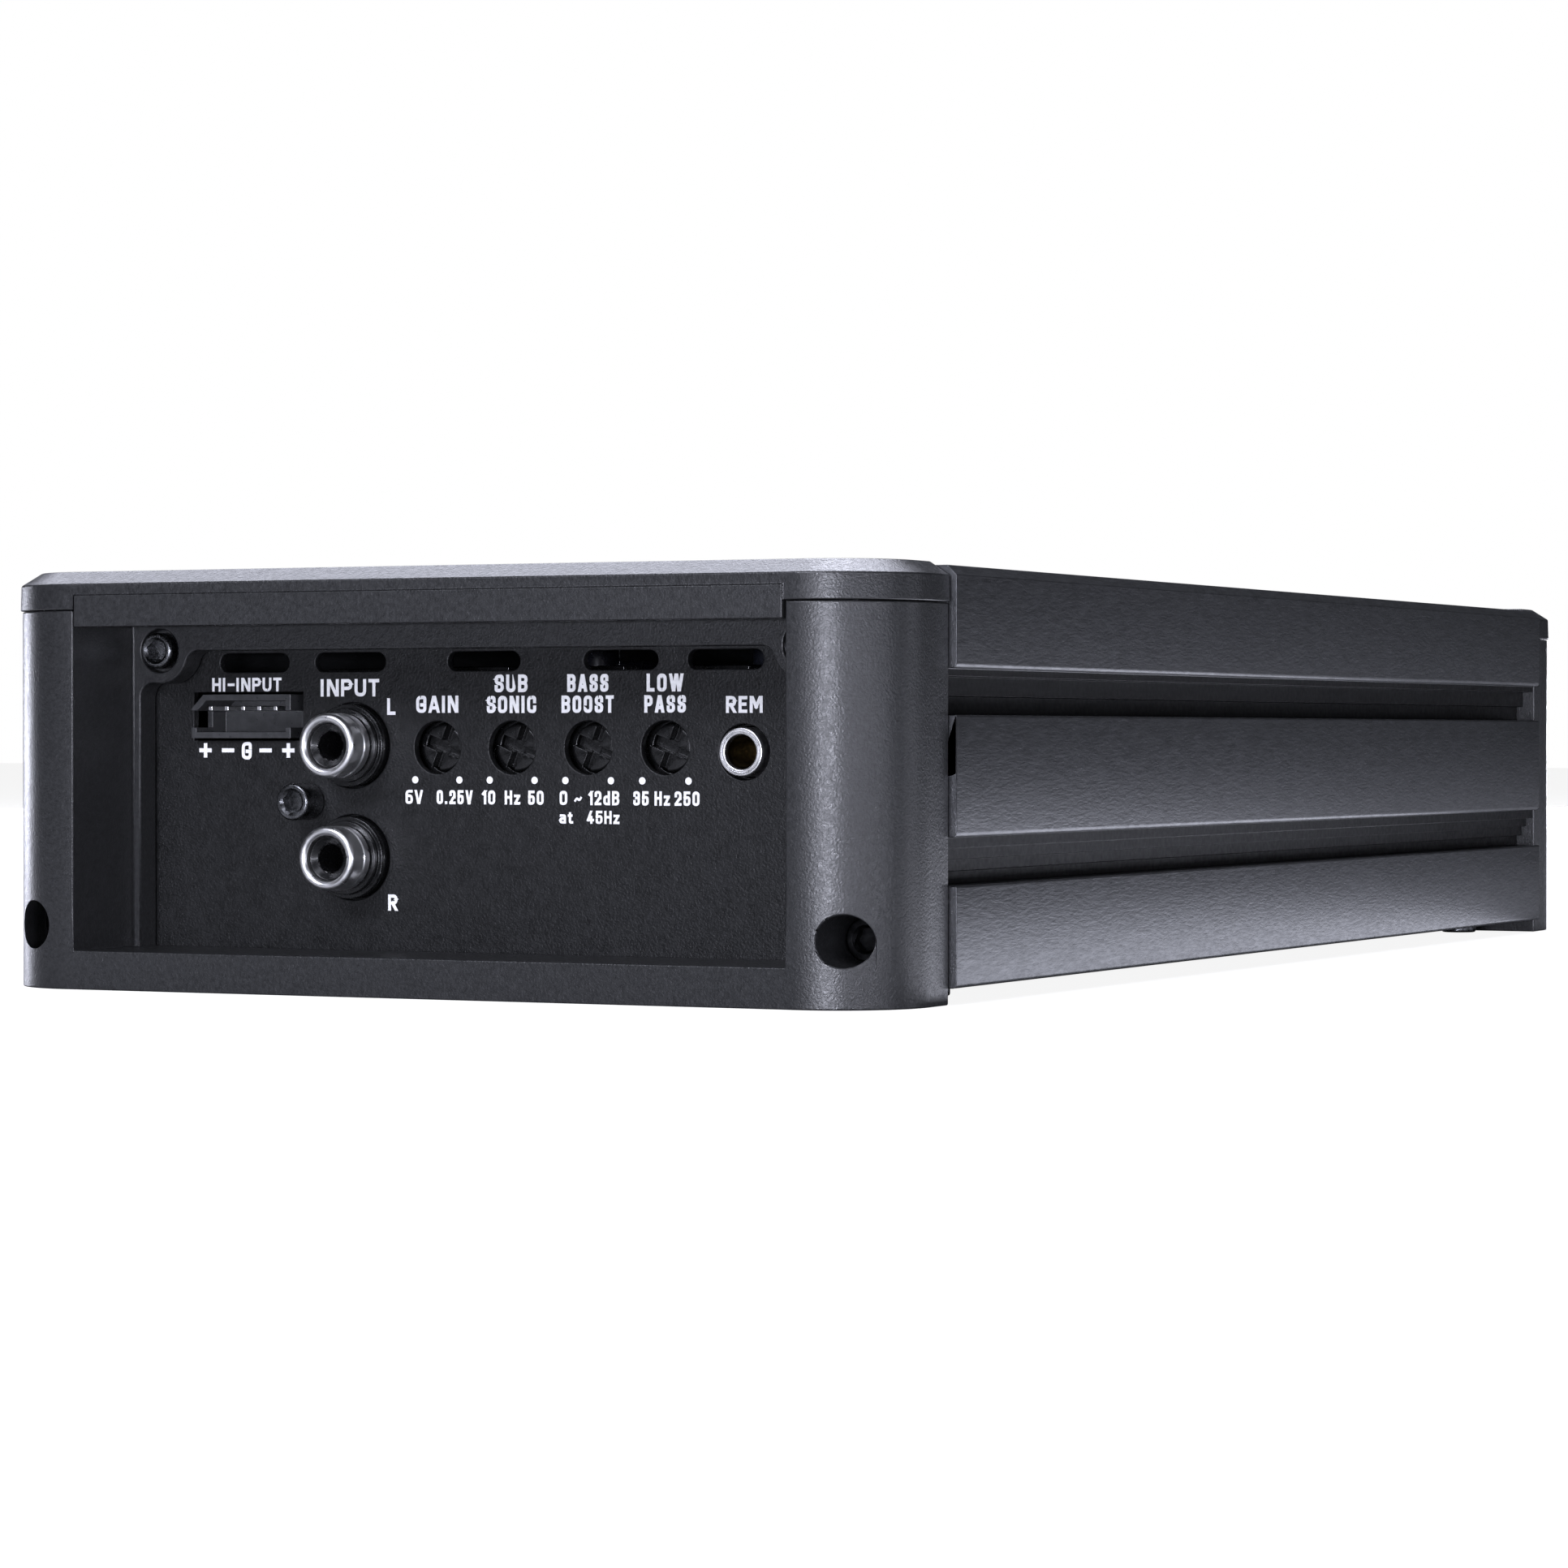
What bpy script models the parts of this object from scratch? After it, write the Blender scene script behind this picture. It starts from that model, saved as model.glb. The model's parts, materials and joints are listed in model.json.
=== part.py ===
"""Compact monoblock car amplifier, built as an assembly of separate solids.

Run with: blender --background --python part.py

Design frame, in metres: X across the amplifier (+X is the right-hand side seen from the control end),
Y from the control end's front face (0) to the power end's face (LENGTH), Z up from the floor.
Everything hangs on one empty that moves this frame's middle to the world origin.
"""

import math

import bmesh
import bpy
from mathutils import Matrix, Vector

# ------------------------------------------------------------------ driving sizes
LENGTH = 0.274
HEIGHT = 0.054
GAP = 0.0003  # air between pieces that touch on the real object

# End frame: two posts, a foot rail and an inner flange, closed on top by a lift-off cap.
FRAME_HALF_WIDTH = 0.0648
FRAME_DEPTH = 0.0174
CORNER_RADIUS = 0.0095
OPENING_HALF_WIDTH = 0.0512
RAIL_HEIGHT = 0.00505
PARTING_Z = 0.0489
FLANGE_Y = 0.0138
FLANGE_TOP_Z = 0.0439
FLANGE_LIP = 0.0012

# Cap
CAP_PROUD = 0.00025
CAP_CHAMFER_OUT = 0.0027
CAP_CHAMFER_DOWN = 0.0017
CAP_RAIL_Z = 0.0468
CAP_WALL = 0.0034

# Screw positions, shared by frames, panels and heatsink
EAR_X, EAR_Z, EAR_RADIUS, EAR_FILLET = 0.0470, 0.0439, 0.0043, 0.0019
FOOT_X, FOOT_Z = 0.0582, 0.00825
FOOT_HOLE_RADIUS, FOOT_HOLE_DEPTH = 0.00315, 0.0110
CLEAR_HOLE_RADIUS = 0.0017
PORT_RADIUS = 0.00135

# Heatsink extrusion
SINK_HALF_WIDTH = 0.06575
SINK_BOTTOM, SINK_TOP = 0.0020, 0.05355
SINK_INSIDE_X, SINK_INSIDE_TOP = 0.0589, 0.0475
SINK_CHAMFER, SINK_EDGE = 0.0012, 0.0003
SINK_Y0, SINK_Y1 = FRAME_DEPTH + GAP, LENGTH - FRAME_DEPTH - GAP
SIDE_GROOVES = (  # each: levels from top to bottom, and the depth below each level
    ((0.0410, 0.0400, 0.0376, 0.0353), (0.0012, 0.0029, 0.0039)),
    ((0.0204, 0.0190, 0.0176, 0.0161, 0.0145), (0.0012, 0.0023, 0.0031, 0.0039)),
)
TOP_GROOVE_X = (0.028, 0.036, 0.044, 0.052)
TOP_GROOVE_HALF_WIDTH, TOP_GROOVE_DEPTH = 0.00175, 0.0030
CORNER_BLOCK_X, CORNER_BLOCK_Z0, CORNER_BLOCK_Z1 = 0.0545, 0.0035, 0.0115
SLOT_RIDGE_X, SLOT_RIDGE_Z0, SLOT_RIDGE_Z1 = 0.0572, 0.0137, 0.0149
EAR_PORT_RADIUS = 0.0032

# Panels, let into the heatsink's ends
PANEL_HALF_WIDTH, PANEL_Z0, PANEL_Z1 = 0.0602, 0.0036, 0.0486
PANEL_THICKNESS = 0.0012
PANEL_Y = FRAME_DEPTH + GAP  # its visible face
PANEL_BACK = PANEL_Y + PANEL_THICKNESS
REBATE_DEPTH = PANEL_THICKNESS + GAP
VENT_X = (-0.0348, -0.0202, -0.0003, 0.0195, 0.0343)
VENT_Z, VENT_HALF_LENGTH, VENT_HALF_HEIGHT = 0.0423, 0.0053, 0.00123

# Bottom cover
COVER_HALF_WIDTH, COVER_THICKNESS = 0.0586, 0.0012
COVER_VENT_PITCH, COVER_VENT_Y = 0.016, 0.045
COVER_VENT_HALF_LENGTH, COVER_VENT_HALF_WIDTH = 0.006, 0.00125
COVER_SCREW_X, COVER_SCREW_Y = 0.0560, 0.0130  # Y is measured in from each end of the heatsink

# Controls and sockets at the front
POT_X = (-0.00716, 0.00384, 0.01484, 0.02584)
POT_Z = 0.03125
POT_NAMES = ("gain", "subsonic", "bass_boost", "low_pass")
POT_HOLE_RADIUS, SHAFT_RADIUS, SHAFT_FACE_Y = 0.0034, 0.0030, 0.0191
POT_HALF_WIDTH, POT_Z0, POT_Y0, POT_Y1 = 0.00475, 0.0258, 0.0213, 0.0282
SLOT_WIDTH, SLOT_DEPTH, SLOT_ANGLE = 0.0012, 0.0014, math.radians(22)
RCA_X, RCA_Z = -0.01985, (0.0315, 0.0170)
RCA_TIP_Y, RCA_RADIUS = 0.0109, 0.00415
RCA_BOSS_RADIUS, RCA_STEP_RADIUS, RCA_HOLE_RADIUS = 0.0053, 0.00475, 0.00555
RCA_SCREW_X, RCA_SCREW_Z, RCA_SCREW_Y = -0.02645, 0.0242, 0.0134
JACK_X, JACK_Z, JACK_RADIUS, JACK_HOLE_RADIUS = 0.03685, 0.03075, 0.00305, 0.0035
JACK_TIP_Y = 0.0167
HEADER_X, HEADER_Z, HEADER_Y0, HEADER_Y1 = (-0.0439, -0.0286), (0.03245, 0.03815), 0.0166, 0.0276
PIN_PITCH, PIN_COUNT, PIN_Z, PIN_HALF = 0.0025, 5, 0.03635, 0.00032

# Boards
CONTROL_BOARD_Z0, BOARD_THICKNESS = 0.0385, 0.0016
CONTROL_BOARD_X, CONTROL_BOARD_Y = (-0.0460, 0.0425), (0.0196, 0.0580)
UNDER_BOARD_Z = CONTROL_BOARD_Z0 - GAP
MAIN_BOARD_Z0, MAIN_BOARD_HALF_WIDTH = 0.0118, 0.0585
MAIN_BOARD_Y = (0.0335, 0.2530)
ON_BOARD_Z = MAIN_BOARD_Z0 + BOARD_THICKNESS + GAP

# Power end, its Y measured inwards from that end's face, as on the control end
BLOCK_Y0, BLOCK_Y1, BLOCK_Z0 = 0.0055, 0.0290, 0.0068
TERMINALS = (  # name, X, wire hole radius, screw radius, screw length, block
    ("battery", 0.0385, 0.0042, 0.0029, 0.0062, "power"),
    ("remote", 0.0262, 0.0023, 0.0019, 0.0050, "power"),
    ("ground", 0.0139, 0.0042, 0.0029, 0.0062, "power"),
    ("speaker_plus", -0.0240, 0.0034, 0.0024, 0.0060, "speaker"),
    ("speaker_minus", -0.0380, 0.0034, 0.0024, 0.0060, "speaker"),
)
BLOCKS = {"power": (0.0058, 0.0466), "speaker": (-0.0460, -0.0160)}
BLOCK_TOP_Z, WIRE_Z, WIRE_DEPTH, CLAMP_Y = 0.0268, 0.0160, 0.0200, 0.0105
FUSE_X, FUSE_Z = (0.0373, 0.0151), 0.0350
FUSE_HALF_WIDTH, FUSE_HALF_THICKNESS, FUSE_Y0, FUSE_Y1 = 0.0095, 0.0026, 0.0052, 0.0162
BLADE_HALF_WIDTH, BLADE_HALF_THICKNESS, BLADE_X, BLADE_LENGTH = 0.0026, 0.0004, 0.0060, 0.0075
FUSE_SOCKET_Y0, FUSE_SOCKET_Y1 = 0.0165, 0.0290
LED_X, LED_Z, LED_RADIUS, LED_PROUD = -0.0310, 0.0350, 0.0015, 0.0012

# Parts inside
TRANSFORMER_Y, TRANSFORMER_RING, TRANSFORMER_TUBE = 0.140, 0.0150, 0.0095
INDUCTOR_Y, INDUCTOR_RING, INDUCTOR_TUBE = 0.085, 0.0115, 0.0070
SUPPLY_CAPACITORS = ((-0.012, 0.214), (0.014, 0.214))
RAIL_CAPACITORS = ((-0.030, 0.108), (0.030, 0.108))
CAPACITOR_RADIUS, CAPACITOR_HEIGHT = 0.0100, 0.0300
TRANSISTOR_SIZE = Vector((0.0045, 0.0100, 0.0155))
TRANSISTOR_Z0, CLAMP_HEIGHT = 0.0185, 0.6  # the clamp bar's height as a share of the transistor's
SUPPLY_TRANSISTOR_Y, OUTPUT_TRANSISTOR_Y = (0.165, 0.185), (0.075, 0.095)
CLAMP_BAR_LENGTH, CLAMP_BAR_THICKNESS, CLAMP_BAR_HEIGHT = 0.050, 0.0030, 0.0080

MATERIALS = {  # colour, roughness, metallic
    "frame_plastic": ((0.040, 0.041, 0.045), 0.50, 0.0),
    "sink_aluminium": ((0.030, 0.031, 0.034), 0.38, 0.7),
    "panel_steel": ((0.012, 0.012, 0.013), 0.55, 0.0),
    "cover_steel": ((0.020, 0.020, 0.021), 0.50, 0.3),
    "black_plastic": ((0.010, 0.010, 0.011), 0.40, 0.0),
    "black_screw": ((0.030, 0.030, 0.032), 0.30, 1.0),
    "nickel": ((0.700, 0.700, 0.690), 0.18, 1.0),
    "board": ((0.010, 0.060, 0.030), 0.45, 0.0),
    "copper_winding": ((0.450, 0.160, 0.060), 0.35, 0.8),
    "capacitor_sleeve": ((0.015, 0.018, 0.030), 0.35, 0.0),
    "bare_aluminium": ((0.600, 0.600, 0.610), 0.35, 1.0),
    "fuse_plastic": ((0.050, 0.350, 0.080), 0.25, 0.0),
    "led_lens": ((0.100, 0.250, 0.700), 0.15, 0.0),
}


# ------------------------------------------------------------------ scene helpers
def clear_scene():
    for obj in list(bpy.data.objects):
        bpy.data.objects.remove(obj)


def new_collection(name):
    collection = bpy.data.collections.new(name)
    bpy.context.scene.collection.children.link(collection)
    return collection


def material(name):
    found = bpy.data.materials.get(name)
    if found:
        return found
    colour, roughness, metallic = MATERIALS[name]
    made = bpy.data.materials.new(name)
    made.use_nodes = True
    shader = made.node_tree.nodes["Principled BSDF"]
    shader.inputs["Base Color"].default_value = (*colour, 1.0)
    shader.inputs["Roughness"].default_value = roughness
    shader.inputs["Metallic"].default_value = metallic
    return made


def add_object(name, mesh, location=(0, 0, 0), rotation=(0, 0, 0)):
    obj = bpy.data.objects.new(name, mesh)
    obj.location = location
    obj.rotation_euler = rotation
    obj.parent = ORIGIN
    PARTS.objects.link(obj)
    return obj


def finish(obj, material_name, name=None):
    """Gives a piece its name and material, and shades its round faces smooth."""
    if name:
        obj.name = name
    obj.data.materials.clear()
    obj.data.materials.append(material(material_name))
    obj.data.shade_smooth()
    obj.data.set_sharp_from_angle(angle=math.radians(35))
    return obj


def as_cutter(obj):
    """Takes an object out of the parts: it only shapes its neighbours."""
    PARTS.objects.unlink(obj)
    CUTTERS.objects.link(obj)
    obj.hide_render = True
    obj.display_type = "WIRE"
    return obj


def boolean(target, operation, *others):
    for other in others:
        as_cutter(other)
        modifier = target.modifiers.new(operation.lower(), "BOOLEAN")
        modifier.operation = operation
        modifier.object = other
    return target


def cut(target, *others):
    return boolean(target, "DIFFERENCE", *others)


def join(target, *others):
    return boolean(target, "UNION", *others)


def evaluated_mesh(obj):
    bpy.context.view_layer.update()
    graph = bpy.context.evaluated_depsgraph_get()
    return bpy.data.meshes.new_from_object(obj.evaluated_get(graph))


def baked(obj):
    """The object with its modifiers applied, so that copies can share its mesh."""
    mesh = evaluated_mesh(obj)
    obj.modifiers.clear()
    obj.data = mesh
    return obj


def from_bmesh(name, bm):
    mesh = bpy.data.meshes.new(name)
    bm.to_mesh(mesh)
    bm.free()
    return mesh


# ------------------------------------------------------------------ shape helpers
FACING_FRONT = (math.pi / 2, 0, 0)  # turns a shape's own +Z to point out of the front
FACING_REAR = (-math.pi / 2, 0, 0)


def box(name, low, high):
    bm = bmesh.new()
    bmesh.ops.create_cube(bm, size=1.0)
    size = [b - a for a, b in zip(low, high)]
    bmesh.ops.scale(bm, vec=size, verts=bm.verts)
    middle = [(a + b) / 2 for a, b in zip(low, high)]
    return add_object(name, from_bmesh(name, bm), middle)


def rod(name, radius, start, length, segments=24, facing=FACING_FRONT, tip_radius=None):
    """A cylinder or cone that begins at start and runs back along the direction it faces from."""
    bm = bmesh.new()
    bmesh.ops.create_cone(
        bm,
        cap_ends=True,
        segments=segments,
        radius1=radius if tip_radius is None else tip_radius,
        radius2=radius,
        depth=length,
    )
    bmesh.ops.translate(bm, vec=(0, 0, -length / 2), verts=bm.verts)
    return add_object(name, from_bmesh(name, bm), start, facing)


def turned(name, profile, location, steps=20, facing=FACING_FRONT, closed=False):
    """A turned piece: profile is (radius, height) down its outer side, height along its own +Z."""
    mesh = bpy.data.meshes.new(name)
    points = [(radius, 0, height) for radius, height in profile]
    edges = [(i, i + 1) for i in range(len(points) - 1)]
    if closed:
        edges.append((len(points) - 1, 0))
    mesh.from_pydata(points, edges, [])
    obj = add_object(name, mesh, location, facing)
    screw = obj.modifiers.new("turn", "SCREW")
    screw.steps = screw.render_steps = steps
    screw.use_merge_vertices = True
    screw.merge_threshold = 0.00001
    screw.use_smooth_shade = True
    return baked(obj)


def arc(x, y, radius, start, end, count):
    """Points on an arc, angles in degrees."""
    steps = [math.radians(start + (end - start) * i / count) for i in range(count + 1)]
    return [(x + radius * math.cos(a), y + radius * math.sin(a)) for a in steps]


def circle(x, y, radius, count=24):
    return arc(x, y, radius, 0, 360, count)[:-1]


def rectangle(x0, y0, x1, y1):
    return [(x0, y0), (x1, y0), (x1, y1), (x0, y1)]


def slot(x, y, half_length, half_height, count=4):
    straight = half_length - half_height
    right = arc(x + straight, y, half_height, -90, 90, count)
    return right + arc(x - straight, y, half_height, 90, 270, count)


def plate(name, loops, low, high, facing=FACING_FRONT):
    """A flat outline with holes, extruded from low to high along Y, or along Z when facing is (0, 0, 0)."""
    curve = bpy.data.curves.new(name, "CURVE")
    curve.dimensions = "2D"
    curve.fill_mode = "BOTH"
    curve.extrude = (high - low) / 2
    for loop in loops:
        spline = curve.splines.new("POLY")
        spline.points.add(len(loop) - 1)
        for point, (x, y) in zip(spline.points, loop):
            point.co = (x, y, 0, 1)
        spline.use_cyclic_u = True
    middle = (low + high) / 2
    location = (0, middle, 0) if facing == FACING_FRONT else (0, 0, middle)
    outline = add_object(name + "_outline", curve, location, facing)
    mesh = evaluated_mesh(outline)
    bm = bmesh.new()
    bm.from_mesh(mesh)
    bmesh.ops.remove_doubles(bm, verts=bm.verts, dist=0.000001)
    bmesh.ops.recalc_face_normals(bm, faces=bm.faces)
    bm.to_mesh(mesh)
    bm.free()
    bpy.data.objects.remove(outline)
    return add_object(name, mesh, location, facing)


def copy_to_rear(obj, name):
    """The same mesh at the power end, turned half round about the amplifier's vertical middle line."""
    half_turn = Matrix.Translation((0, LENGTH, 0)) @ Matrix.Rotation(math.pi, 4, "Z")
    twin = bpy.data.objects.new(name, obj.data)
    twin.parent = ORIGIN
    twin.matrix_basis = half_turn @ obj.matrix_basis
    PARTS.objects.link(twin)
    return twin


# ------------------------------------------------------------------ end frames and caps
def frame_plan(grow=0.0, inset=0.0):
    """Plan outline of an end frame: rounded at the front corners and square against the heatsink."""
    half = FRAME_HALF_WIDTH + grow - inset
    front = -grow + inset
    radius = CORNER_RADIUS + grow - inset
    right = arc(half - radius, front + radius, radius, -90, 0, 8)
    left = [(-x, y) for x, y in reversed(right)]
    return right + [(half, FRAME_DEPTH), (-half, FRAME_DEPTH)] + left


def flange_window():
    """Inner outline of the frame's flange in X and Z: a window with an ear round each upper screw."""
    side = OPENING_HALF_WIDTH - FLANGE_LIP
    reach = EAR_RADIUS + EAR_FILLET
    # Side fillet: tangent to the lip's edge and to the ear.
    side_x = side - EAR_FILLET
    side_z = EAR_Z - math.sqrt(reach**2 - (side_x - EAR_X) ** 2)
    side_angle = math.degrees(math.atan2(EAR_Z - side_z, EAR_X - side_x))
    # Top fillet: tangent to the flange's top edge and to the ear.
    top_z = FLANGE_TOP_Z - EAR_FILLET
    top_x = EAR_X - math.sqrt(reach**2 - (top_z - EAR_Z) ** 2)
    top_angle = math.degrees(math.atan2(EAR_Z - top_z, EAR_X - top_x))
    right = [(side, RAIL_HEIGHT - 0.003)]
    right += arc(side_x, side_z, EAR_FILLET, 0, side_angle, 4)
    right += arc(EAR_X, EAR_Z, EAR_RADIUS, side_angle - 180, top_angle - 180, 8)[1:-1]
    right += arc(top_x, top_z, EAR_FILLET, top_angle, 90, 4)
    return right + [(-x, z) for x, z in reversed(right)]


def make_frame():
    frame = plate("front_frame", [frame_plan()], 0, PARTING_Z, facing=(0, 0, 0))
    beyond = 0.002
    opening = box(
        "opening_cutter",
        (-OPENING_HALF_WIDTH, -beyond, RAIL_HEIGHT),
        (OPENING_HALF_WIDTH, FLANGE_Y, HEIGHT),
    )
    window = plate("window_cutter", [flange_window()], FLANGE_Y - beyond, FRAME_DEPTH + beyond)
    # The window must not cut the foot rail: a plain box gives its lower edge.
    sill = box(
        "sill_trim",
        (-FRAME_HALF_WIDTH, FLANGE_Y - 2 * beyond, 0),
        (FRAME_HALF_WIDTH, FRAME_DEPTH + 2 * beyond, RAIL_HEIGHT),
    )
    cut(window, sill)
    cut(frame, opening, window)
    channel = box("foot_channel_cutter", (-0.048, 0.003, -beyond), (0.048, 0.0145, 0.0025))
    cut(frame, channel)
    for side in (-1, 1):
        hole = rod("foot_hole", FOOT_HOLE_RADIUS, (side * FOOT_X, -beyond, FOOT_Z), FOOT_HOLE_DEPTH + beyond)
        through = rod(
            "foot_through", CLEAR_HOLE_RADIUS, (side * FOOT_X, FOOT_HOLE_DEPTH - beyond, FOOT_Z), 0.012, 16
        )
        seat = rod("ear_seat", 0.00285, (side * EAR_X, FLANGE_Y - beyond, EAR_Z), beyond + 0.0015)
        ear = rod("ear_through", CLEAR_HOLE_RADIUS, (side * EAR_X, FLANGE_Y, EAR_Z), 0.008, 16)
        x0, x1 = sorted((side * 0.0537, side * 0.0617))
        pocket = box("post_pocket", (x0, 0.0048, 0.0150), (x1, 0.0142, HEIGHT))
        cut(frame, hole, through, seat, ear, pocket)
    return finish(baked(frame), "frame_plastic")


def chamfered_cap_body():
    """Loft from the cap's full plan to its inset top: the chamfer runs round the front and the sides."""
    lower = frame_plan(grow=CAP_PROUD)
    upper = frame_plan(grow=CAP_PROUD, inset=CAP_CHAMFER_OUT)
    layers = (
        (PARTING_Z + GAP, lower),
        (HEIGHT - CAP_CHAMFER_DOWN, lower),
        (HEIGHT, upper),
    )
    bm = bmesh.new()
    rings = [[bm.verts.new((x, y, z)) for x, y in outline] for z, outline in layers]
    count = len(lower)
    for below, above in zip(rings, rings[1:]):
        for i in range(count):
            j = (i + 1) % count
            bm.faces.new((below[i], below[j], above[j], above[i]))
    bm.faces.new(reversed(rings[0]))
    bm.faces.new(rings[-1])
    bmesh.ops.recalc_face_normals(bm, faces=bm.faces)
    return add_object("front_cap", from_bmesh("front_cap", bm))


def make_cap():
    cap = chamfered_cap_body()
    rail_half = OPENING_HALF_WIDTH - GAP
    rail = box("cap_rail", (-rail_half, -CAP_PROUD, CAP_RAIL_Z), (rail_half, CAP_WALL, PARTING_Z + 0.002))
    hollow = box("cap_hollow", (-0.0588, CAP_WALL, 0.045), (0.0588, 0.0155, 0.0520))
    cut(cap, hollow)
    join(cap, rail)
    for side in (-1, 1):
        x0, x1 = sorted((side * 0.0545, side * 0.0580))
        tongue = box("cap_tongue", (x0, 0.0060, 0.0430), (x1, 0.0128, 0.0530))
        join(cap, tongue)
    return finish(baked(cap), "frame_plastic")


# ------------------------------------------------------------------ heatsink and sheet metal
def sink_profile():
    """Cross-section of the extrusion in X and Z: an inverted U with grooved sides and a finned top."""
    x = SINK_HALF_WIDTH
    outside = []
    for groove_x in TOP_GROOVE_X:
        left, right = groove_x - TOP_GROOVE_HALF_WIDTH, groove_x + TOP_GROOVE_HALF_WIDTH
        floor = SINK_TOP - TOP_GROOVE_DEPTH
        outside += [(left, SINK_TOP), (left, floor), (right, floor), (right, SINK_TOP)]
    outside += [(x - SINK_CHAMFER, SINK_TOP), (x, SINK_TOP - SINK_CHAMFER)]
    for levels, depths in SIDE_GROOVES:
        outside += [(x, levels[0] + SINK_EDGE), (x - SINK_EDGE, levels[0])]
        for top, bottom, depth in zip(levels, levels[1:], depths):
            outside += [(x - depth, top), (x - depth, bottom)]
        outside += [(x - SINK_EDGE, levels[-1]), (x, levels[-1] - SINK_EDGE)]
    outside += [(x, SINK_BOTTOM + SINK_EDGE), (x - SINK_EDGE, SINK_BOTTOM)]
    inside = [
        (SINK_INSIDE_X, SINK_BOTTOM),
        (SINK_INSIDE_X, CORNER_BLOCK_Z0),
        (CORNER_BLOCK_X, CORNER_BLOCK_Z0),
        (CORNER_BLOCK_X, CORNER_BLOCK_Z1),
        (SINK_INSIDE_X, CORNER_BLOCK_Z1),
        (SINK_INSIDE_X, SLOT_RIDGE_Z0),
        (SLOT_RIDGE_X, SLOT_RIDGE_Z0),
        (SLOT_RIDGE_X, SLOT_RIDGE_Z1),
        (SINK_INSIDE_X, SLOT_RIDGE_Z1),
        (SINK_INSIDE_X, SINK_INSIDE_TOP),
        (EAR_X + EAR_PORT_RADIUS, SINK_INSIDE_TOP),
    ]
    inside += arc(EAR_X, EAR_Z, EAR_PORT_RADIUS, 0, -180, 8)
    inside += [(EAR_X - EAR_PORT_RADIUS, SINK_INSIDE_TOP)]
    half = outside + inside
    return half + [(-x, z) for x, z in reversed(half)]


def make_heatsink():
    ports = [circle(s * EAR_X, EAR_Z, PORT_RADIUS, 12) for s in (-1, 1)]
    ports += [circle(s * FOOT_X, FOOT_Z, PORT_RADIUS, 12) for s in (-1, 1)]
    sink = plate("heatsink_body", [sink_profile()] + ports, SINK_Y0, SINK_Y1)
    edge = PANEL_HALF_WIDTH + GAP
    for y0, y1 in ((SINK_Y0 - 0.002, SINK_Y0 + REBATE_DEPTH), (SINK_Y1 - REBATE_DEPTH, SINK_Y1 + 0.002)):
        cut(sink, box("panel_rebate", (-edge, y0, PANEL_Z0 - GAP), (edge, y1, PANEL_Z1 + GAP)))
    for x, y in cover_screw_places():
        cut(sink, rod("cover_port", 0.0015, (x, y, 0.0066), 0.0040, 12, facing=(0, 0, 0)))
    return finish(sink, "sink_aluminium")


def cover_screw_places():
    near, far = SINK_Y0 + COVER_SCREW_Y, SINK_Y1 - COVER_SCREW_Y
    return [(x, y) for y in (near, far) for x in (-COVER_SCREW_X, COVER_SCREW_X)]


def make_bottom_cover():
    y0, y1 = SINK_Y0 + GAP, SINK_Y1 - GAP
    outline = rectangle(-COVER_HALF_WIDTH, y0, COVER_HALF_WIDTH, y1)
    holes = [circle(x, y, CLEAR_HOLE_RADIUS, 12) for x, y in cover_screw_places()]
    vents = [
        slot(column * COVER_VENT_PITCH, LENGTH / 2 + y, COVER_VENT_HALF_LENGTH, COVER_VENT_HALF_WIDTH)
        for column in (-2, -1, 0, 1, 2)
        for y in (-COVER_VENT_Y, COVER_VENT_Y)
    ]
    loops, top = [outline] + holes + vents, SINK_BOTTOM + COVER_THICKNESS
    cover = plate("bottom_cover", loops, SINK_BOTTOM, top, facing=(0, 0, 0))
    return finish(cover, "cover_steel")


def panel_blank_holes():
    """Screw holes and vents that both panels share."""
    holes = [slot(x, VENT_Z, VENT_HALF_LENGTH, VENT_HALF_HEIGHT) for x in VENT_X]
    for side in (-1, 1):
        holes.append(circle(side * EAR_X, EAR_Z, CLEAR_HOLE_RADIUS, 12))
        holes.append(circle(side * FOOT_X, FOOT_Z, CLEAR_HOLE_RADIUS, 12))
    return holes


def make_front_panel():
    outline = rectangle(-PANEL_HALF_WIDTH, PANEL_Z0, PANEL_HALF_WIDTH, PANEL_Z1)
    holes = [circle(x, POT_Z, POT_HOLE_RADIUS, 20) for x in POT_X]
    holes += [circle(RCA_X, z, RCA_HOLE_RADIUS, 20) for z in RCA_Z]
    holes.append(circle(JACK_X, JACK_Z, JACK_HOLE_RADIUS, 20))
    holes.append(circle(RCA_SCREW_X, RCA_SCREW_Z, CLEAR_HOLE_RADIUS, 12))
    left, right = HEADER_X[0] - GAP, HEADER_X[1] + 0.0012
    holes.append(rectangle(left, HEADER_Z[0] - GAP, right, HEADER_Z[1] + GAP))
    loops = [outline] + holes + panel_blank_holes()
    return finish(plate("front_panel", loops, PANEL_Y, PANEL_BACK), "panel_steel")


def make_rear_panel():
    outline = rectangle(-PANEL_HALF_WIDTH, PANEL_Z0, PANEL_HALF_WIDTH, PANEL_Z1)
    holes = [rectangle(x0 - GAP, BLOCK_Z0 - GAP, x1 + GAP, BLOCK_TOP_Z + GAP) for x0, x1 in BLOCKS.values()]
    for x in FUSE_X:
        reach_x, reach_z = FUSE_HALF_WIDTH + 0.0012, FUSE_HALF_THICKNESS + 0.0012
        holes.append(rectangle(x - reach_x, FUSE_Z - reach_z, x + reach_x, FUSE_Z + reach_z))
    holes.append(circle(LED_X, LED_Z, LED_RADIUS + GAP, 16))
    loops = [outline] + holes + panel_blank_holes()
    panel = plate("rear_panel", loops, LENGTH - PANEL_BACK, LENGTH - PANEL_Y)
    return finish(panel, "panel_steel")


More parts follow.
